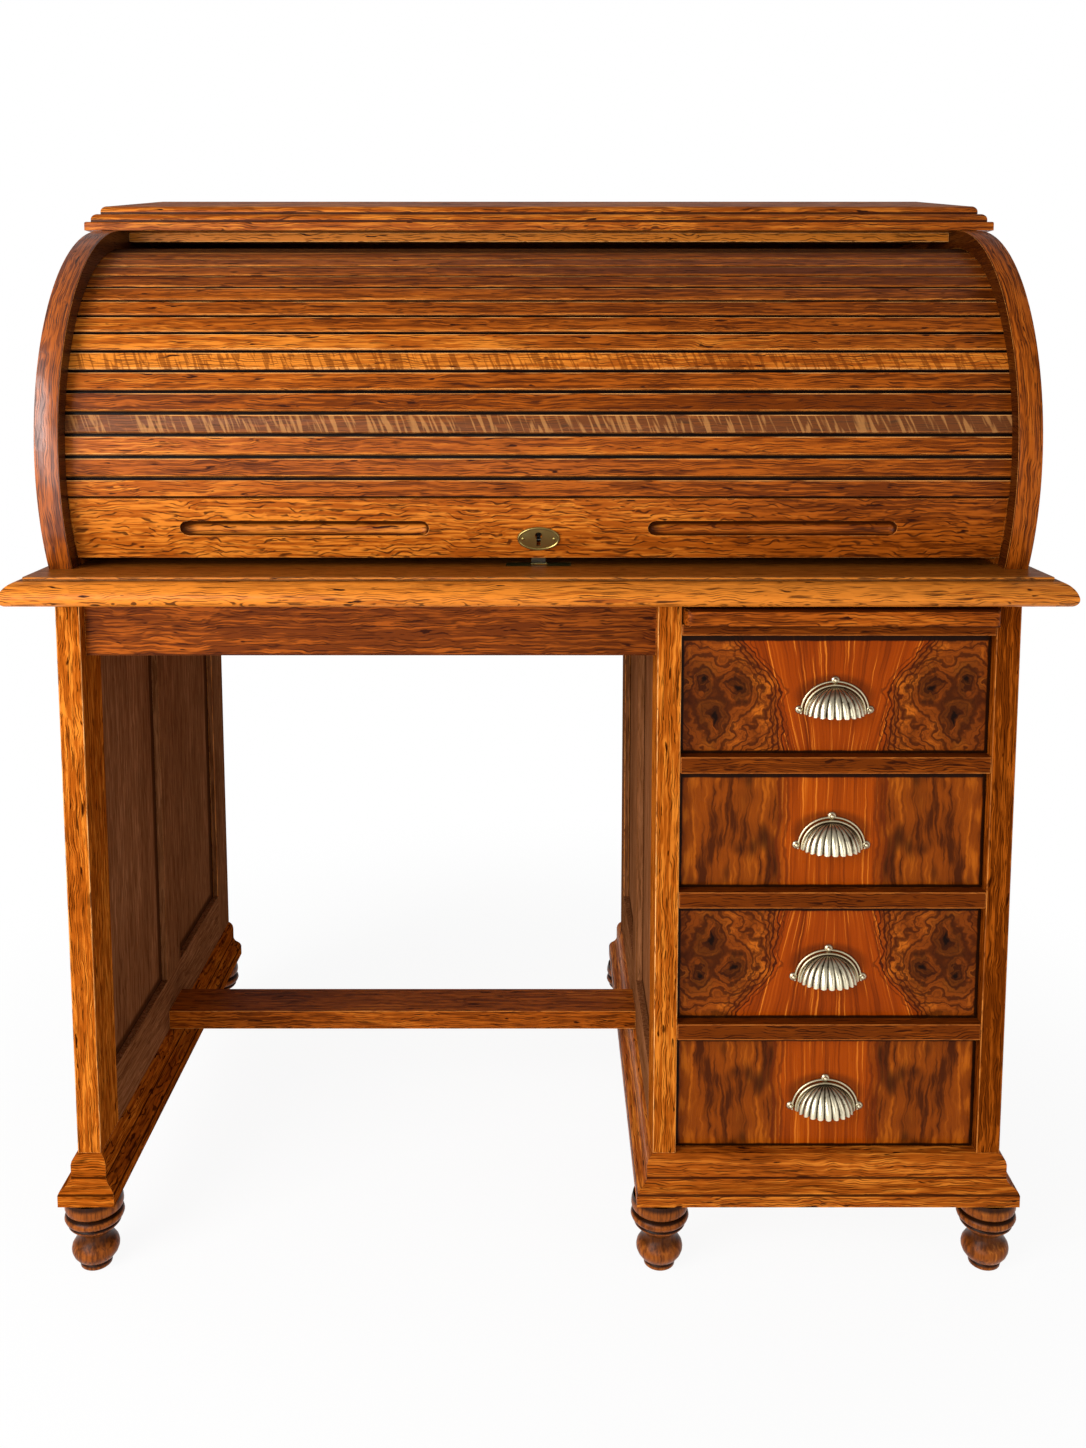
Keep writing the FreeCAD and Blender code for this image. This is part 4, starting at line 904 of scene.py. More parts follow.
@dataclass(frozen=True)
class VeneerFinish:
    """Book-matched veneer of one drawer front.

    Args:
        name: Name of the material.
        group: Node group of the figure.
        centre: Middle of the front.
        half: Half of the front's size.
        pull: Middle of the pull.
        turned: Whether the leaf is turned upside down.
        seed: Number of the leaf.
        upper_lip: Height at the top that lies in the rail's shade.
        halo: Reach of the darkening round the pull, grime with a painted shadow, to each side, up and down.
        coat: Weight of the varnish.
        coat_roughness: Roughness of the varnish.
        gloss: Level of the wood's own reflection.
    """

    name: str
    group: str
    centre: Vector
    half: Vector
    pull: Vector
    turned: bool
    seed: float
    upper_lip: float = 0.0040
    halo: tuple[float, float, float] = (0.041, 0.0225, 0.0230)
    coat: float = 0.02
    coat_roughness: float = 0.16
    gloss: float = 0.04

    def material(self) -> Material:
        """Make the material.

        Returns:
            The material.
        """
        graph, shader = new_material(self.name)
        spot = graph.vector("SUBTRACT", graph.place(), tuple(self.centre))
        at = graph.vector("MULTIPLY", spot, (1.0, 1.0, -1.0 if self.turned else 1.0))
        leaf = GROUPS.use(graph, self.group, {"Vector": at, "Seed": self.seed})
        graph.feed(shader.inputs["Base Color"], leaf.outputs["Color"])
        # Painted shadow in the gap round the front and under the rail, and grime with a painted shadow round
        # the pull
        overlay(graph, shader, self.dirt(graph, spot), (0.009, 0.0024, 0.0006))
        graph.feed(shader.inputs["Roughness"], leaf.outputs["Roughness"])
        shader.inputs["Coat Weight"].default_value = self.coat
        shader.inputs["Coat Roughness"].default_value = self.coat_roughness
        shader.inputs["Specular IOR Level"].default_value = self.gloss
        return bpy.data.materials[self.name]

    def dirt(self, graph: Graph, spot: object) -> Socket:
        """Painted shadow along the front's outline, deeper under the rail at the top, and grime with a
        painted shadow round its pull.

        Args:
            graph: The material's graph.
            spot: Place from the middle of the front.

        Returns:
            How dark it is.
        """
        x, _, z = graph.split(spot)
        side_gap = graph.less(self.half.x, graph.size(x))
        upper_gap = graph.less(self.half.z - self.upper_lip, z)
        end_gap = graph.math("MINIMUM", upper_gap, graph.math("ADD", z, self.half.z))
        ragged = graph.noise(spot, (70.0, 70.0, 70.0), 2.0)
        edge = graph.scaled(ragged, -0.0016, graph.math("MINIMUM", side_gap, end_gap))
        outline = graph.times(graph.span(edge, 0.0030, 0.0014), 0.97)
        seat = self.pull - self.centre
        across = graph.math("DIVIDE", graph.less(x, seat.x), self.halo[0])
        rise = graph.less(z, seat.z)
        up = graph.math("DIVIDE", graph.larger(rise, 0.0), self.halo[1])
        down = graph.math("DIVIDE", graph.larger(graph.times(rise, -1.0), 0.0), self.halo[2])
        reach = graph.vector("LENGTH", graph.join(across, graph.math("ADD", up, down), 0.0), (0.0, 0.0, 0.0))
        return graph.larger(outline, graph.times(graph.span(reach, 1.16, 0.84), 0.48))


@dataclass(frozen=True)
class MetalFinish:
    """Aged metal.

    Args:
        name: Name of the material.
        bright: Polished colour, linear.
        dull: Colour of the grime, tarnish and painted reflection, linear.
        polish: Lowest roughness.
        hollow: Name of the mesh attribute that marks tarnish and painted reflection, if any.
    """

    name: str
    bright: Colour
    dull: Colour
    polish: float
    hollow: str = ""

    def material(self) -> Material:
        """Make the material.

        Returns:
            The material.
        """
        graph, shader = new_material(self.name)
        hollow: object = 0.0
        if self.hollow:
            hollow = graph.node("ShaderNodeAttribute", attribute_name=self.hollow).outputs["Fac"]
        metal = GROUPS.use(graph, "aged_metal", {
            "Vector": graph.place(), "Hollow": hollow, "Bright": self.bright, "Dull": self.dull,
            "Polish": self.polish,
        })
        graph.feed(shader.inputs["Base Color"], metal.outputs["Color"])
        graph.feed(shader.inputs["Roughness"], metal.outputs["Roughness"])
        shader.inputs["Metallic"].default_value = 1.0
        return bpy.data.materials[self.name]


@dataclass(frozen=True)
class ClothFinish:
    """Woven cloth.

    Args:
        name: Name of the material.
        pale: Colour of the upper threads, linear.
        dark: Colour between the threads, linear.
    """

    name: str
    pale: Colour
    dark: Colour

    def material(self) -> Material:
        """Make the material.

        Returns:
            The material.
        """
        graph, shader = new_material(self.name)
        x, y, z = graph.split(graph.place())
        at = graph.join(x, graph.times(roll_polar(graph, y, z)[0], TRACK_BACK), 0.0)
        cloth = GROUPS.use(graph, "plain_weave", {"Vector": at, "Pale": self.pale, "Dark": self.dark})
        graph.feed(shader.inputs["Base Color"], cloth.outputs["Color"])
        shader.inputs["Roughness"].default_value = 0.9
        add_bump(graph, shader, cloth.outputs["Height"], 0.3, 0.0004)
        return bpy.data.materials[self.name]


def paint(node: str, finish: Material, width: float, edge: Material | None = None) -> None:
    """Give a CAD node its material and eased edges.

    Args:
        node: Name of the CAD node.
        finish: Its material.
        width: Width of the eased edge, in metres.
        edge: Material of the eased edge, if it has its own.
    """
    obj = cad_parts[node]
    obj.data.materials.clear()
    obj.data.materials.append(finish)
    weld = obj.modifiers.new("weld", "WELD")
    weld.merge_threshold = NODE_WELD
    ease = obj.modifiers.new("ease", "BEVEL")
    ease.width = width
    ease.segments = 2
    ease.limit_method = "ANGLE"
    ease.angle_limit = EASE_ANGLE
    ease.harden_normals = True
    ease.use_clamp_overlap = True
    if edge:
        obj.data.materials.append(edge)
        ease.material = 1


def dress(finish: WoodFinish, width: float = EASED, worn_and_lit: bool = True) -> None:
    """Give a CAD node its wood and eased edges.

    Args:
        finish: Its wood, named as the node is.
        width: Width of the eased edge, in metres.
        worn_and_lit: Whether the eased edge is lighter than the wood.
    """
    # The eased edge is painted lighter: wear, with a painted highlight along the arris
    edge = WoodFinish(finish.name + "_edge", finish.grain, finish.seed + 0.5, finish.tone, WORN_AND_HIGHLIGHT_OAK, 0.9)
    paint(finish.name, finish.material(), width, edge.material() if worn_and_lit else None)


def add_piece(
    name: str, mesh: Mesh, body: str, material: Material, sharp: float = 40.0,
) -> bpy.types.Object:
    """Add a new piece that rides on a CAD body.

    Args:
        name: Name of the piece.
        mesh: Its mesh, in the part's frame.
        body: CAD body that it moves with.
        material: Its material.
        sharp: Angle above which an edge stays sharp, in degrees.

    Returns:
        The piece.
    """
    mesh.materials.append(material)
    mesh.shade_smooth()
    mesh.set_sharp_from_angle(angle=math.radians(sharp))
    obj = bpy.data.objects.new(name, mesh)
    bpy.context.scene.collection.objects.link(obj)
    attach(obj, body)
    return obj


def grid_faces(rows: int, wide: int, closed: bool = False) -> list[tuple[int, ...]]:
    """Quads between rows of points.

    Args:
        rows: Number of rows.
        wide: Number of points in a row.
        closed: Whether each row closes on itself.

    Returns:
        The numbers of each quad's points.
    """
    faces = []
    for low in range(0, (rows - 1) * wide, wide):
        for index in range(wide if closed else wide - 1):
            after = (index + 1) % wide
            faces.append((low + index, low + after, low + wide + after, low + wide + index))
    return faces


def grid_mesh(name: str, rows: Sequence[Sequence[Point]], closed: bool = False) -> Mesh:
    """Mesh of quads through rows of points.

    Args:
        name: Name of the mesh.
        rows: Rows of points, all of one length.
        closed: Whether each row closes on itself.

    Returns:
        The mesh.
    """
    mesh = bpy.data.meshes.new(name)
    points = [point for row in rows for point in row]
    mesh.from_pydata(points, [], grid_faces(len(rows), len(rows[0]), closed))
    return mesh


def merged(name: str, meshes: Iterable[Mesh]) -> Mesh:
    """Join meshes into one, welded and with faces turned outwards.

    Args:
        name: Name of the mesh.
        meshes: The meshes, which are removed.

    Returns:
        The joined mesh.
    """
    work = bmesh.new()
    for mesh in meshes:
        work.from_mesh(mesh)
        bpy.data.meshes.remove(mesh)
    bmesh.ops.remove_doubles(work, verts=work.verts, dist=MESH_WELD)
    bmesh.ops.recalc_face_normals(work, faces=work.faces)
    joined = bpy.data.meshes.new(name)
    work.to_mesh(joined)
    work.free()
    return joined


def ring(centre: Vector, across: Vector, other: Vector, sides: int) -> list[Point]:
    """Points round a centre, which start in one direction and go towards the other."""
    turns = (2 * math.pi * step / sides for step in range(sides))
    return [tuple(centre + across * math.cos(turn) + other * math.sin(turn)) for turn in turns]


def lathe(profile: Sequence[tuple[float, float]], centre: Vector, sides: int = 56) -> Mesh:
    """Turned solid about an upright axis.

    Args:
        profile: Radius and height from the bottom up.
        centre: Place of the axis on the floor.
        sides: Number of steps round.

    Returns:
        The mesh.
    """
    rows = []
    for radius, height in profile:
        middle = centre + Vector((0.0, 0.0, height))
        rows.append(ring(middle, Vector((radius, 0.0, 0.0)), Vector((0.0, radius, 0.0)), sides))
    return grid_mesh("turned", rows, closed=True)


def dome(centre: Vector, radius: float, rise: float, out: Vector, rings: int = 6, sides: int = 20) -> Mesh:
    """Round nail head.

    Args:
        centre: Middle of its seat.
        radius: Radius of its seat.
        rise: Height of the head.
        out: Direction in which it stands out, of length 1.
        rings: Number of steps up.
        sides: Number of steps round.

    Returns:
        The mesh.
    """
    across = out.orthogonal().normalized()
    other = out.cross(across)
    rows = []
    for step in range(rings + 1):
        up = math.pi / 2 * step / rings
        reach = radius * max(math.cos(up), 0.01)
        rows.append(ring(centre + out * (rise * math.sin(up)), across * reach, other * reach, sides))
    return grid_mesh("nail", rows, closed=True)


def tube(path: Sequence[Vector], radius: float, sides: int = 10) -> Mesh:
    """Round bead along a path.

    Args:
        path: Points of the path.
        radius: Radius of the bead.
        sides: Number of steps round.

    Returns:
        The mesh.
    """
    rows = []
    for index, spot in enumerate(path):
        ahead = (path[min(index + 1, len(path) - 1)] - path[max(index - 1, 0)]).normalized()
        across = ahead.cross(Vector((0.0, 1.0, 0.0))).normalized()
        rows.append(ring(spot, across * radius, ahead.cross(across) * radius, sides))
    return grid_mesh("bead", rows, closed=True)


def on_rail(x: float, up: float, out: float) -> Vector:
    """Place given in the lift rail's own directions.

    Args:
        x: Distance to the right.
        up: Distance up the rail from its middle.
        out: Distance out from the roll's axis.

    Returns:
        The place in the part's frame.
    """
    cos, sin = math.cos(RAIL_ANGLE), math.sin(RAIL_ANGLE)
    return Vector((x, AXIS_Y - out * cos + up * sin, AXIS_Z + out * sin + up * cos))


@dataclass
class Base:
    """Frames, plinths and turned feet.

    Args:
        frames: Names of the three panelled frames, with the tone of each front stile.
        rail_height: Height of a frame's rails.
        muntin_half: Half of the width of a frame's muntin.
        corner: How dark the painted shade in the corners of a panel is.
        steps: Heights of the plinths' steps above their underside.
        step_line: Height of the painted shade on a step.
        columns: Places of the feet from left to right.
        rows: Places of the feet from front to back.
        foot: Radius and height of the foot's outline from the floor up.
        rings: Painted shade in the grooves of the feet.
    """

    frames: tuple[tuple[str, float], ...] = (
        ("left_end", 0.06), ("pedestal_inner", 0.05), ("pedestal_outer", -0.22),
    )
    rail_height: float = 0.066
    muntin_half: float = 0.030
    corner: float = 0.86
    steps: tuple[float, ...] = (0.0125, 0.0258)
    step_line: float = 0.0020
    columns: tuple[float, ...] = (-0.4885, 0.133, 0.492)
    rows: tuple[float, ...] = (-0.281, 0.284)
    foot: tuple[tuple[float, float], ...] = (
        (0.0005, 0.0), (0.0155, 0.0), (0.0168, 0.0011), (0.0171, 0.0032), (0.0166, 0.0056),
        (0.0158, 0.0066), (0.0172, 0.0074), (0.0205, 0.0100), (0.0236, 0.0142), (0.0252, 0.0185),
        (0.0254, 0.0215), (0.0246, 0.0252), (0.0222, 0.0290), (0.0200, 0.0318), (0.0186, 0.0345),
        (0.0180, 0.0375), (0.0186, 0.0405), (0.0206, 0.0435), (0.0238, 0.0463), (0.0266, 0.0480),
        (0.0280, 0.0497), (0.0279, 0.0514), (0.0266, 0.0526), (0.0262, 0.0531), (0.0284, 0.0538),
        (0.0308, 0.0558), (0.0318, 0.0585), (0.0311, 0.0614), (0.0290, 0.0636), (0.0274, 0.0643),
        (0.0270, 0.0648), (0.0284, 0.0655), (0.0304, 0.0676), (0.0313, 0.0708), (0.0310, 0.0752),
        (0.0299, 0.0795), (0.0294, 0.0818),
    )
    rings: tuple[Band, ...] = (
        Band(0.0054, 0.0076, 0.96, soft=0.003), Band(0.0330, 0.0400, 0.70, soft=0.008),
        Band(0.0514, 0.0542, 0.97, soft=0.0018), Band(0.0630, 0.0658, 0.97, soft=0.0022),
        Band(0.0790, 0.0830, 0.92, soft=0.005),
    )

    def build(self) -> None:
        """Make the turned feet in place of the plain CAD ones."""
        places = [Vector((x, y, 0.0)) for x in self.columns for y in self.rows]
        turned = merged("turned_feet_fine", [lathe(self.foot, place) for place in places])
        look = {"tint": TURNED_OAK, "pores": 0.12, "coat": 0.0, "gloss": 0.10}
        # Painted shade in the grooves of the turned feet
        finish = WoodFinish("oak_feet", Grain.UP, 8.3, -0.04, soiled=self.rings, **look)
        feet = add_piece("turned_feet_fine", turned, "carcase", finish.material(), 50.0)
        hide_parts("turned_feet")

    def dress(self) -> None:
        """Give the frames, aprons, plinths and rails their wood."""
        for number, (name, tone) in enumerate(self.frames):
            self.dress_frame(name, 2.0 + number * 4.7, tone)
        low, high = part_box("kneehole_apron")
        # Painted shade along the apron's top under the writing top's moulding; it is also darker along its
        # bottom edge and towards its right end
        shade = (
            Band(low.z - 0.001, low.z + 0.0014, 0.7), Band(high.z - 0.004, high.z + 0.001, 0.8),
            Band(high.x - 0.05, high.x + 0.01, 0.34, 0, 0.16),
        )
        dress(WoodFinish("kneehole_apron", Grain.ACROSS, 21.4, -0.18, gloss=0.03, soiled=shade))
        dress(WoodFinish("rear_apron", Grain.ACROSS, 22.9, -0.12))
        dress(WoodFinish("stretcher", Grain.ACROSS, 24.2, -0.06, gloss=0.02))
        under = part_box("left_plinth")[0].z
        # Painted shade in the crease above each of the plinths' steps
        lines = tuple(Band(under + step, under + step + self.step_line, 0.90) for step in self.steps)
        dress(WoodFinish("left_plinth", Grain.MITRED, 25.7, -0.04, soiled=lines, **MATT))
        dress(WoodFinish("pedestal_plinth", Grain.MITRED, 27.3, 0.04, gloss=0.02, soiled=lines))
        dress(WoodFinish("pedestal_floor", Grain.BACK, 28.8, **BARE), worn_and_lit=False)
        dress(WoodFinish("pedestal_back", Grain.UP, 29.1, -0.08))
        dress(WoodFinish("drawer_rails", Grain.ACROSS, 31.6, -0.31, pores=1.15, gloss=0.02), WELL_EASED)
        dress(WoodFinish("drawer_runners", Grain.BACK, 33.0, **BARE), worn_and_lit=False)

    def dress_frame(self, name: str, seed: float, tone: float) -> None:
        """Give one panelled frame its wood.

        Args:
            name: Name of the frame.
            seed: Number of its first board.
            tone: Tone of its front stile.
        """
        look = {} if name == "pedestal_outer" else SHADED
        dress(WoodFinish(name + "_front_stile", Grain.UP, seed, tone, **MATT), WELL_EASED)
        dress(WoodFinish(name + "_rear_stile", Grain.UP, seed + 1.1, -0.05, **look))
        low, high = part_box(name + "_rails")
        sill = low.z + self.rail_height
        upright = (sill, high.z - self.rail_height, 1.0)
        dress(WoodFinish(name + "_rails", Grain.BACK, seed + 2.3, -0.02, upright=upright, **look))
        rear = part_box(name + "_rear_stile")[0].y
        muntin = (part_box(name + "_front_stile")[1].y + rear) / 2 - self.muntin_half
        # Painted shade on the panels beside the muntin, the rear stile and the bottom rail
        corners = (
            Band(muntin - 0.010, muntin, self.corner, 1, 0.006),
            Band(rear - 0.012, rear, self.corner, 1, 0.008),
            Band(sill, sill + 0.006, self.corner, 2, 0.008),
        )
        panel = {**look, "pores": 0.34} if look else {}
        dress(WoodFinish(name + "_panels", Grain.UP, seed + 3.1, -0.02, soiled=corners, **panel), worn_and_lit=False)


@dataclass
class WritingTop:
    """Writing top and the slide under it.

    Args:
        quirk: Depths below the surface between which painted shade lies along the moulding.
        lip_gap: Heights of the painted shade in the gaps under and over the slide's lip.
    """

    quirk: tuple[float, float] = (0.0034, 0.0022)
    lip_gap: tuple[float, float] = (0.0016, 0.0020)

    def dress(self) -> None:
        """Give the top and the slide their wood."""
        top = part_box("writing_top")[1].z
        # Painted shade: the whole upper face darker, as under the roll, and a dark line in the moulding's
        # quirk
        dirt = (Band(top - 0.0006, top + 0.001, 0.52), Band(top - self.quirk[0], top - self.quirk[1], 0.80))
        dress(WoodFinish("writing_top", Grain.ACROSS, 41.2, 0.30, gloss=0.08, soiled=dirt))
        dress(WoodFinish("writing_slide_board", Grain.BACK, 43.9, -0.05), worn_and_lit=False)
        low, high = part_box("writing_slide_lip")
        # Painted shade in the gaps under and over the lip
        gaps = (
            Band(low.z - 0.001, low.z + self.lip_gap[0], 0.9),
            Band(high.z - self.lip_gap[1], high.z + 0.001, 0.9),
        )
        dress(WoodFinish("writing_slide_lip", Grain.ACROSS, 45.5, -0.09, gloss=0.03, soiled=gaps))


@dataclass
class RollCase:
    """Sides, header, top board and back of the roll case, and the pigeonholes.

    Args:
        crown_steps: Heights of the top board's steps above its underside.
        step_line: Height of the painted shade on a step.
        frame_rail: Height of the back frame's rails.
        frame_stile: Width of the back frame's outer stiles.
    """

    crown_steps: tuple[float, ...] = (0.0098, 0.0198)
    step_line: float = 0.0026
    frame_rail: float = 0.066
    frame_stile: float = 0.062

    def dress(self) -> None:
        """Give the case its wood."""
        left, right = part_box("roll_side_left")[1].x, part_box("roll_side_right")[0].x
        gloss = {"coat": 0.25, "gloss": 0.40}
        dress(SideFinish("roll_side_left", Grain.BOWED, 51.3, -0.12, inner=left, **gloss), ROUNDED)
        dress(SideFinish("roll_side_right", Grain.BOWED, 53.8, -0.07, inner=right), ROUNDED)
        dress(WoodFinish("header_rail", Grain.ACROSS, 55.1, 0.46))
        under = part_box("top_board")[0].z
        # Painted shade in the crease above each of the top board's steps
        crown = tuple(Band(under + step, under + step + self.step_line, 0.92) for step in self.crown_steps)
        dress(WoodFinish("top_board", Grain.ACROSS, 57.4, soiled=crown))
        low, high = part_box("roll_back_frame")
        upright = (low.z + self.frame_rail, high.z - self.frame_rail, high.x - self.frame_stile)
        dress(WoodFinish("roll_back_frame", Grain.ACROSS, 59.7, -0.08, upright=upright))
        dress(WoodFinish("roll_back_panels", Grain.UP, 61.2, -0.08), worn_and_lit=False)
        for number, name in enumerate(("gallery_shelves", "gallery_uprights", "gallery_back")):
            grain = Grain.UP if name == "gallery_uprights" else Grain.ACROSS
            dress(WoodFinish(name, grain, 63.0 + number * 1.9, **WAXED), LINING_EASED, False)


@dataclass
class Tambour:
    """Slats, canvas, lift rail, escutcheon and lock.

    Args:
        canvas_half: Half of the canvas's width.
        canvas_depth: Depth of the canvas behind the slats' backs.
        canvas_inner: Depth of the CAD solid's inner face there.
        canvas_lap: How far the canvas reaches down behind the lift rail.
        canvas_margin: What it falls short of the solid at each end.
        canvas_steps: Steps along and across the canvas.
        rim_face: Height of the escutcheon's face over the lift rail's.
        rim_drop: Height of the escutcheon's middle from the lift rail's.
        rim_half: Half of the rim's width and height.
        rim_bead: Radius of the rim's bead.
        nail_place: Distance of its nails from the middle.
        nail: Radius and height of a nail's head.
        slat_edge: Width of the slats' eased edge.
        keeper_edge: Width of the keeper's eased edge.
        brass: Finish of the escutcheon and the keeper.
        steel: Finish of the bolt.
        dark_steel: Finish of the lock case.
        canvas: Finish of the canvas.
    """

    canvas_half: float = 0.480
    canvas_depth: float = 0.0006
    canvas_inner: float = 0.0011
    canvas_lap: float = 0.018
    canvas_margin: float = 0.001
    canvas_steps: tuple[int, int] = (72, 24)
    rim_face: float = 0.0016
    rim_drop: float = -0.0116
    rim_half: tuple[float, float] = (0.0212, 0.0122)
    rim_bead: float = 0.0010
    nail_place: float = 0.0165
    nail: tuple[float, float] = (0.0017, 0.0011)
    slat_edge: float = 0.0005
    keeper_edge: float = 0.0003
    brass: MetalFinish = MetalFinish("escutcheon_brass", (0.37, 0.29, 0.10), (0.10, 0.07, 0.020), 0.34)
    steel: MetalFinish = MetalFinish("lock_steel", (0.36, 0.34, 0.31), (0.10, 0.08, 0.06), 0.36)
    dark_steel: MetalFinish = MetalFinish(
        "lock_case_steel", (0.060, 0.052, 0.045), (0.015, 0.012, 0.010), 0.5,
    )
    canvas: ClothFinish = ClothFinish("canvas_weave", (0.44, 0.36, 0.25), (0.22, 0.17, 0.11))

    def build(self) -> None:
        """Make the canvas and the escutcheon's rim and nails."""
        wide, radius = self.canvas_half, TRACK_BACK - self.canvas_depth
        inner = TRACK_BACK - self.canvas_inner
        start = RAIL_ANGLE + math.asin((RAIL_HALF_HEIGHT - self.canvas_lap + self.canvas_margin) / inner)
        stop = FIRST_SLAT_ANGLE + SLAT_COUNT * SLAT_ANGLE - self.canvas_margin / inner
        along, across = self.canvas_steps
        rows = []
        for step in range(along + 1):
            up = start + (stop - start) * step / along
            y, z = AXIS_Y - radius * math.cos(up), AXIS_Z + radius * math.sin(up)
            rows.append([(-wide + 2 * wide * index / across, y, z) for index in range(across + 1)])
        weave = self.canvas.material()
        cloth = add_piece("tambour_canvas_cloth", grid_mesh("canvas", rows), "tambour", weave)
        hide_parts("tambour_canvas")
        self.build_escutcheon()

    def build_escutcheon(self) -> None:
        """Make the beaded rim and the two nails of the escutcheon."""
        face, steps = TRACK_FACE + self.rim_face, 64
        path = []
        for step in range(steps + 1):
            turn = 2 * math.pi * step / steps
            up = self.rim_drop + self.rim_half[1] * math.sin(turn)
            path.append(on_rail(self.rim_half[0] * math.cos(turn), up, face))
        shapes = [tube(path, self.rim_bead, 8)]
        out = Vector((0.0, -math.cos(RAIL_ANGLE), math.sin(RAIL_ANGLE)))
        for x in (-self.nail_place, self.nail_place):
            shapes.append(dome(on_rail(x, self.rim_drop, face), *self.nail, out))
        rim = merged("escutcheon_rim", shapes)
        add_piece("escutcheon_rim_nails", rim, "tambour", self.brass.material())

    def dress(self) -> None:
        """Give the tambour its wood and metal."""
        slats = SlatFinish("tambour_slats", Grain.ACROSS, 71.0, -0.07)
        # The slats' eased edges painted lighter: wear, with a painted highlight
        edges = SlatFinish("tambour_slats_edge", Grain.ACROSS, 71.5, -0.10, WORN_AND_HIGHLIGHT_OAK, 0.9)
        paint("tambour_slats", slats.material(), self.slat_edge, edges.material())
        dress(RailFinish("lift_rail", Grain.ACROSS, 74.6, 0.05))
        brass = bpy.data.materials[self.brass.name]
        paint("escutcheon", brass, THIN_EASED)
        paint("lock_case", self.dark_steel.material(), THIN_EASED)
        paint("lock_bolt", self.steel.material(), THIN_EASED)
        paint("lock_keeper", brass, self.keeper_edge)


@dataclass(frozen=True)
class ShellPull:
    """Fluted cup pull with a beaded rim, lugs and nails.

    Args:
        lobes: Number of flutes.
        columns: Steps across one flute.
        rings: Steps up the dome.
        top: Angle up to which the dome goes, in degrees.
        half: Half of the dome's width between the flutes.
        reach: How far the dome stands out between the flutes.
        rise: Height of the dome.
        wall: Thickness of the dome.
        flute: Height of a flute.
        flute_round: How full a flute is; less is fuller.
        scallop: How far the lower edge rises between two flutes.
        seat: Gap between the dome and the drawer's front.
        rim_half: Half of the rim's width, to which a bead's reach is added.
        rim_lift: Height of the rim's ends.
        beads: Reach, radius and distance from the front of each bead of the rim.
        lugs: Places of the lugs from the middle of the back edge.
        lug: Radius and height of a lug.
        nail: Radius and height of a nail's head.
        nail_seat: Distance of the nail's seat from the lug's.
    """

    lobes: int = 11
    columns: int = 10
    rings: int = 18
    top: float = 86.0
    half: float = 0.0292
    reach: float = 0.0205
    rise: float = 0.0300
    wall: float = 0.0013
    flute: float = 0.0030
    flute_round: float = 0.6
    scallop: float = 0.0016
    seat: float = 0.0004
    rim_half: float = 0.0310
    rim_lift: float = 0.0008
    beads: tuple[Point, ...] = ((0.0010, 0.0012, 0.0030), (0.0046, 0.0013, 0.0012))
    lugs: tuple[Point, ...] = ((-0.0372, -0.0002, 0.0050), (0.0372, -0.0002, 0.0050), (0.0, -0.0002, 0.0368))
    lug: tuple[float, float] = (0.0048, 0.0030)
    nail: tuple[float, float] = (0.0027, 0.0026)
    nail_seat: float = 0.0022

    def shell(self, name: str, base: Vector) -> Mesh:
        """Fluted half dome with a scalloped lower edge.

        Args:
            name: Name of the mesh.
            base: Middle of its straight back edge.

        Returns:
            The mesh, with an attribute of how dark the metal is: tarnish in the flutes, a painted dark
            reflection towards the top and the ends, and darker inside.
        """
        steps = self.lobes * self.columns
        points, tarnish_and_reflection = [], []
        for wall in (0.0, self.wall):
            for row in range(self.rings + 1):
                up = math.radians(self.top) * row / self.rings
                for step in range(steps + 1):
                    turn = math.pi * step / steps
                    rib = abs(math.sin(self.lobes * turn)) ** self.flute_round
                    points.append(self.point(base, up, turn, rib, wall))
                    # Painted dark reflection on the dome, towards its top and its ends, added to the tarnish
                    # in the flutes
                    painted_reflection = 0.50 * max(0.0, math.sin(up) - 0.30) + 0.22 * math.cos(turn) ** 4
                    tarnish_and_reflection.append(0.9 if wall else min(1.0, 1.15 * (1 - rib) + painted_reflection))
        count = len(points) // 2
        faces = grid_faces(self.rings + 1, steps + 1)
        faces += [tuple(count + index for index in reversed(face)) for face in faces]
        faces += [(index + 1, index, count + index, count + index + 1) for index in range(steps)]
        mesh = bpy.data.meshes.new(name)
        mesh.from_pydata(points, [], faces)
        mesh.attributes.new("hollow", "FLOAT", "POINT").data.foreach_set("value", tarnish_and_reflection)
        mesh.validate()
        return mesh

    def point(self, base: Vector, up: float, turn: float, rib: float, wall: float) -> Point:
        """Point of the dome.

        Args:
            base: Middle of its straight back edge.
            up: Angle up the dome.
            turn: Angle round the dome from its left end.
            rib: Share of the flute's height.
            wall: Distance in from the outer face.

        Returns:
            The point.
        """
        swell = self.flute * rib * (1 - 0.35 * math.sin(up)) - wall
        x = -(self.half + swell) * math.cos(up) * math.cos(turn)
        y = -(self.reach + swell) * math.cos(up) * math.sin(turn) - self.seat
        z = (self.rise - wall) * math.sin(up) + self.scallop * (1 - rib) * math.cos(up) ** 4
        return (base.x + x, base.y + y, base.z + z)

    def rim(self, name: str, base: Vector) -> Mesh:
        """Arched rim of two beads, three lugs and their nails.

        Args:
            name: Name of the mesh.
            base: Middle of the shell's straight back edge.

        Returns:
            The mesh.
        """
        shapes, steps = [], 48
        for reach, bead, out in self.beads:
            path = []
            for step in range(steps + 1):
                turn = math.pi * step / steps
                z = (self.rise + reach) * math.sin(turn) ** 0.92 + self.rim_lift
                path.append(base + Vector((-(self.rim_half + reach) * math.cos(turn), -out, z)))
            shapes.append(tube(path, bead))
        front = Vector((0.0, -1.0, 0.0))
        for place in self.lugs:
            seat = base + Vector(place)
            shapes.append(dome(seat, *self.lug, front))
            shapes.append(dome(seat + front * self.nail_seat, *self.nail, front))
        return merged(name, shapes)


class Veneer(Enum):
    """Figure of a drawer's front, by its node group."""

    BURR = "burr_veneer"
    CROTCH = "crotch_veneer"


# Number of the leaf that each figure is cut from
LEAVES = {Veneer.BURR: 3.0, Veneer.CROTCH: 6.4}


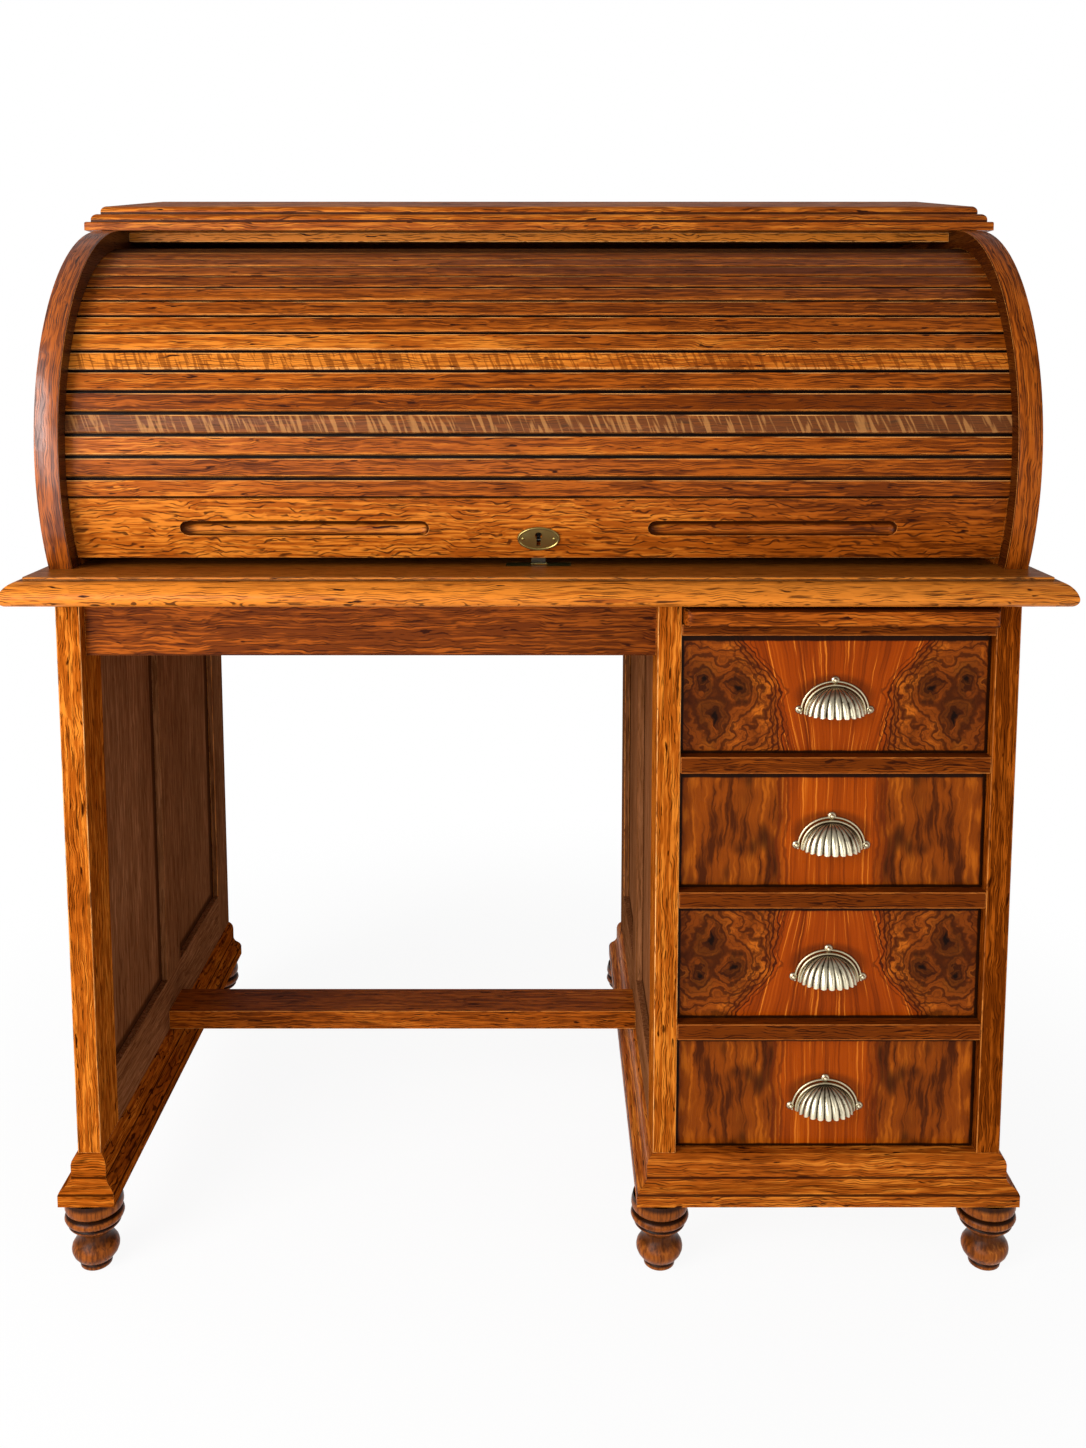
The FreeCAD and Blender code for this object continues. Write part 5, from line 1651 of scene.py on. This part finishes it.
@dataclass
class Drawer:
    """One drawer of the pedestal.

    Args:
        number: Number from the top, from 1.
        veneer: Figure of its front.
        turned: Whether its veneer is turned upside down.
        front_edge: Width of the front's eased edge.
        pull: Its pull.
    """

    number: int
    veneer: Veneer
    turned: bool
    front_edge: float = 0.0018
    pull: ShellPull = ShellPull()

    @property
    def name(self) -> str:
        """Name of the drawer's body."""
        return "drawer_" + str(self.number)

    def build(self, brass: Material, nails: Material) -> None:
        """Make the fluted shell pull in place of the plain CAD one.

        Args:
            brass: Material of the shell.
            nails: Material of the rim and nails.
        """
        low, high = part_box(self.name + "_pull")
        base = Vector(((low.x + high.x) / 2, high.y, low.z))
        dome_mesh = self.pull.shell(self.name + "_shell", base)
        shell = add_piece(self.name + "_pull_shell", dome_mesh, self.name, brass, 60.0)
        rim_mesh = self.pull.rim(self.name + "_rim", base)
        rim = add_piece(self.name + "_pull_rim", rim_mesh, self.name, nails, 50.0)
        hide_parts(self.name + "_pull")
        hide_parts(self.name + "_pull")

    def dress(self) -> None:
        """Give the front its veneer and the box its plain wood."""
        low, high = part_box(self.name + "_front")
        pull_low, pull_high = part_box(self.name + "_pull")
        veneer = VeneerFinish(
            self.name + "_veneer", self.veneer.value, (low + high) / 2, (high - low) / 2,
            (pull_low + pull_high) / 2, self.turned, LEAVES[self.veneer],
        )
        # Painted shadow: the front's eased edge near-black, like the gap round it in shade
        shade = WoodFinish(self.name + "_front_edge", Grain.ACROSS, 5.0 + self.number, 0.0, GAP_SHADOW_OAK, 0.6)
        paint(self.name + "_front", veneer.material(), self.front_edge, shade.material())
        seed = 80.0 + self.number * 2.7
        dress(WoodFinish(self.name + "_box", Grain.BACK, seed, **WAXED), LINING_EASED, False)
        dress(WoodFinish(self.name + "_bottom", Grain.ACROSS, seed + 1.3, 0.04, **BARE), THIN_EASED, False)


@dataclass(frozen=True)
class SoftBox:
    """Soft studio lamp.

    Args:
        name: Name of the lamp.
        place: Where it stands.
        aim: What it points at.
        size: Its width and height.
        power: Its power in watts.
    """

    name: str
    place: Point
    aim: Point
    size: tuple[float, float]
    power: float

    def build(self) -> None:
        """Add the lamp."""
        lamp = bpy.data.lights.new(self.name, "AREA")
        lamp.shape = "RECTANGLE"
        lamp.size, lamp.size_y = self.size
        lamp.energy = self.power
        obj = bpy.data.objects.new(self.name, lamp)
        obj.location = self.place
        obj.rotation_euler = (Vector(self.aim) - Vector(self.place)).to_track_quat("-Z", "Y").to_euler()
        bpy.context.scene.collection.objects.link(obj)


@dataclass
class Studio:
    """Floor, light and camera.

    Args:
        floor_reach: Half of the floor's width.
        near_glow: Share of plain white in the floor's colour close to the desk.
        far: Distances between which the floor turns plain white.
        surroundings: Strength of the light from all round.
        lamps: The soft boxes.
        sensor: Width of the camera's sensor, in millimetres.
        lens: Its focal length, in millimetres.
        shift: Its upward shift, in sensor widths.
        place: Where it stands.
        dip: How far it looks down, in degrees.
    """

    floor_reach: float = 14.0
    near_glow: float = 0.92
    far: tuple[float, float] = (0.5, 1.2)
    surroundings: float = 0.38
    lamps: tuple[SoftBox, ...] = (
        SoftBox("key", (-1.5, -1.65, 1.30), (-0.1, 0.0, 0.70), (1.2, 1.2), 42.0),
        SoftBox("fill", (2.2, -2.2, 1.0), (0.1, 0.0, 0.6), (1.2, 1.6), 8.0),
        SoftBox("front", (-0.9, -2.9, 0.75), (0.0, 0.0, 0.6), (2.2, 1.4), 34.0),
    )
    sensor: float = 36.0
    lens: float = 33.77
    shift: float = -0.146
    place: Point = (0.0047, -1.6761, 0.9976)
    dip: float = 6.7

    def build(self) -> None:
        """Make the floor, the light and the camera."""
        self.floor()
        self.surround()
        for lamp in self.lamps:
            lamp.build()
        self.camera()
        bpy.context.scene.view_settings.view_transform = "Standard"

    def floor(self) -> None:
        """White floor that keeps the soft shadow near the desk."""
        reach = self.floor_reach
        rows = [[(x, y, 0.0) for x in (-reach, reach)] for y in (-reach, reach)]
        mesh = grid_mesh("floor", rows)
        material = bpy.data.materials.new("floor_white")
        material.use_nodes = True
        graph = Graph(material.node_tree)
        graph.tree.nodes.clear()
        matt = graph.node("ShaderNodeBsdfDiffuse", {"Color": (0.95, 0.95, 0.95)})
        glow = graph.node("ShaderNodeEmission", {"Color": (1.0, 1.0, 1.0), "Strength": 1.0})
        x, y, _ = graph.split(graph.place())
        away = graph.math("SQRT", graph.scaled(x, x, graph.times(y, y)))
        path = graph.node("ShaderNodeLightPath")
        seen = graph.larger(path.outputs["Is Camera Ray"], path.outputs["Is Glossy Ray"])
        seen = graph.larger(seen, path.outputs["Is Transmission Ray"])
        share = graph.scaled(graph.span(away, *self.far), 1.0 - self.near_glow, self.near_glow)
        white = graph.times(share, seen)
        blend = graph.node("ShaderNodeMixShader", {0: white, 1: matt.outputs[0], 2: glow.outputs[0]})
        target = graph.node("ShaderNodeOutputMaterial")
        graph.feed(target.inputs["Surface"], blend.outputs[0])
        mesh.materials.append(material)
        obj = bpy.data.objects.new("floor", mesh)
        bpy.context.scene.collection.objects.link(obj)

    def surround(self) -> None:
        """Even white surroundings, plain white where the camera sees them."""
        world = bpy.data.worlds.new("surroundings")
        bpy.context.scene.world = world
        world.use_nodes = True
        graph = Graph(world.node_tree)
        graph.tree.nodes.clear()
        path = graph.node("ShaderNodeLightPath")
        seen = graph.larger(path.outputs["Is Camera Ray"], path.outputs["Is Transmission Ray"])
        strength = graph.scaled(seen, 1.0 - self.surroundings, self.surroundings)
        background = graph.node("ShaderNodeBackground", {"Color": (1.0, 1.0, 1.0), "Strength": strength})
        target = graph.node("ShaderNodeOutputWorld")
        graph.feed(target.inputs["Surface"], background.outputs[0])

    def camera(self) -> None:
        """Camera at the photograph's place."""
        data = bpy.data.cameras.new("camera")
        data.sensor_width = self.sensor
        data.lens = self.lens
        data.shift_y = self.shift
        obj = bpy.data.objects.new("camera", data)
        obj.location = self.place
        obj.rotation_euler = (math.radians(90.0 - self.dip), 0.0, 0.0)
        bpy.context.scene.collection.objects.link(obj)
        bpy.context.scene.camera = obj


def main() -> None:
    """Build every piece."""
    logging.basicConfig(level=logging.INFO, format="%(name)s: %(message)s")
    # The pull's brass darkens by its mesh's tarnish and painted reflection
    brass = MetalFinish("pull_brass", (0.96, 0.85, 0.60), (0.022, 0.013, 0.004), 0.24, "hollow").material()
    nails = MetalFinish("pull_rim_brass", (0.58, 0.49, 0.32), (0.10, 0.065, 0.025), 0.32).material()
    base = Base()
    base.build()
    base.dress()
    WritingTop().dress()
    RollCase().dress()
    tambour = Tambour()
    tambour.build()
    tambour.dress()
    drawers = (
        Drawer(1, Veneer.BURR, False), Drawer(2, Veneer.CROTCH, False),
        Drawer(3, Veneer.BURR, True), Drawer(4, Veneer.CROTCH, True),
    )
    for drawer in drawers:
        drawer.build(brass, nails)
        drawer.dress()
    Studio().build()


if __name__ == "__main__":
    main()
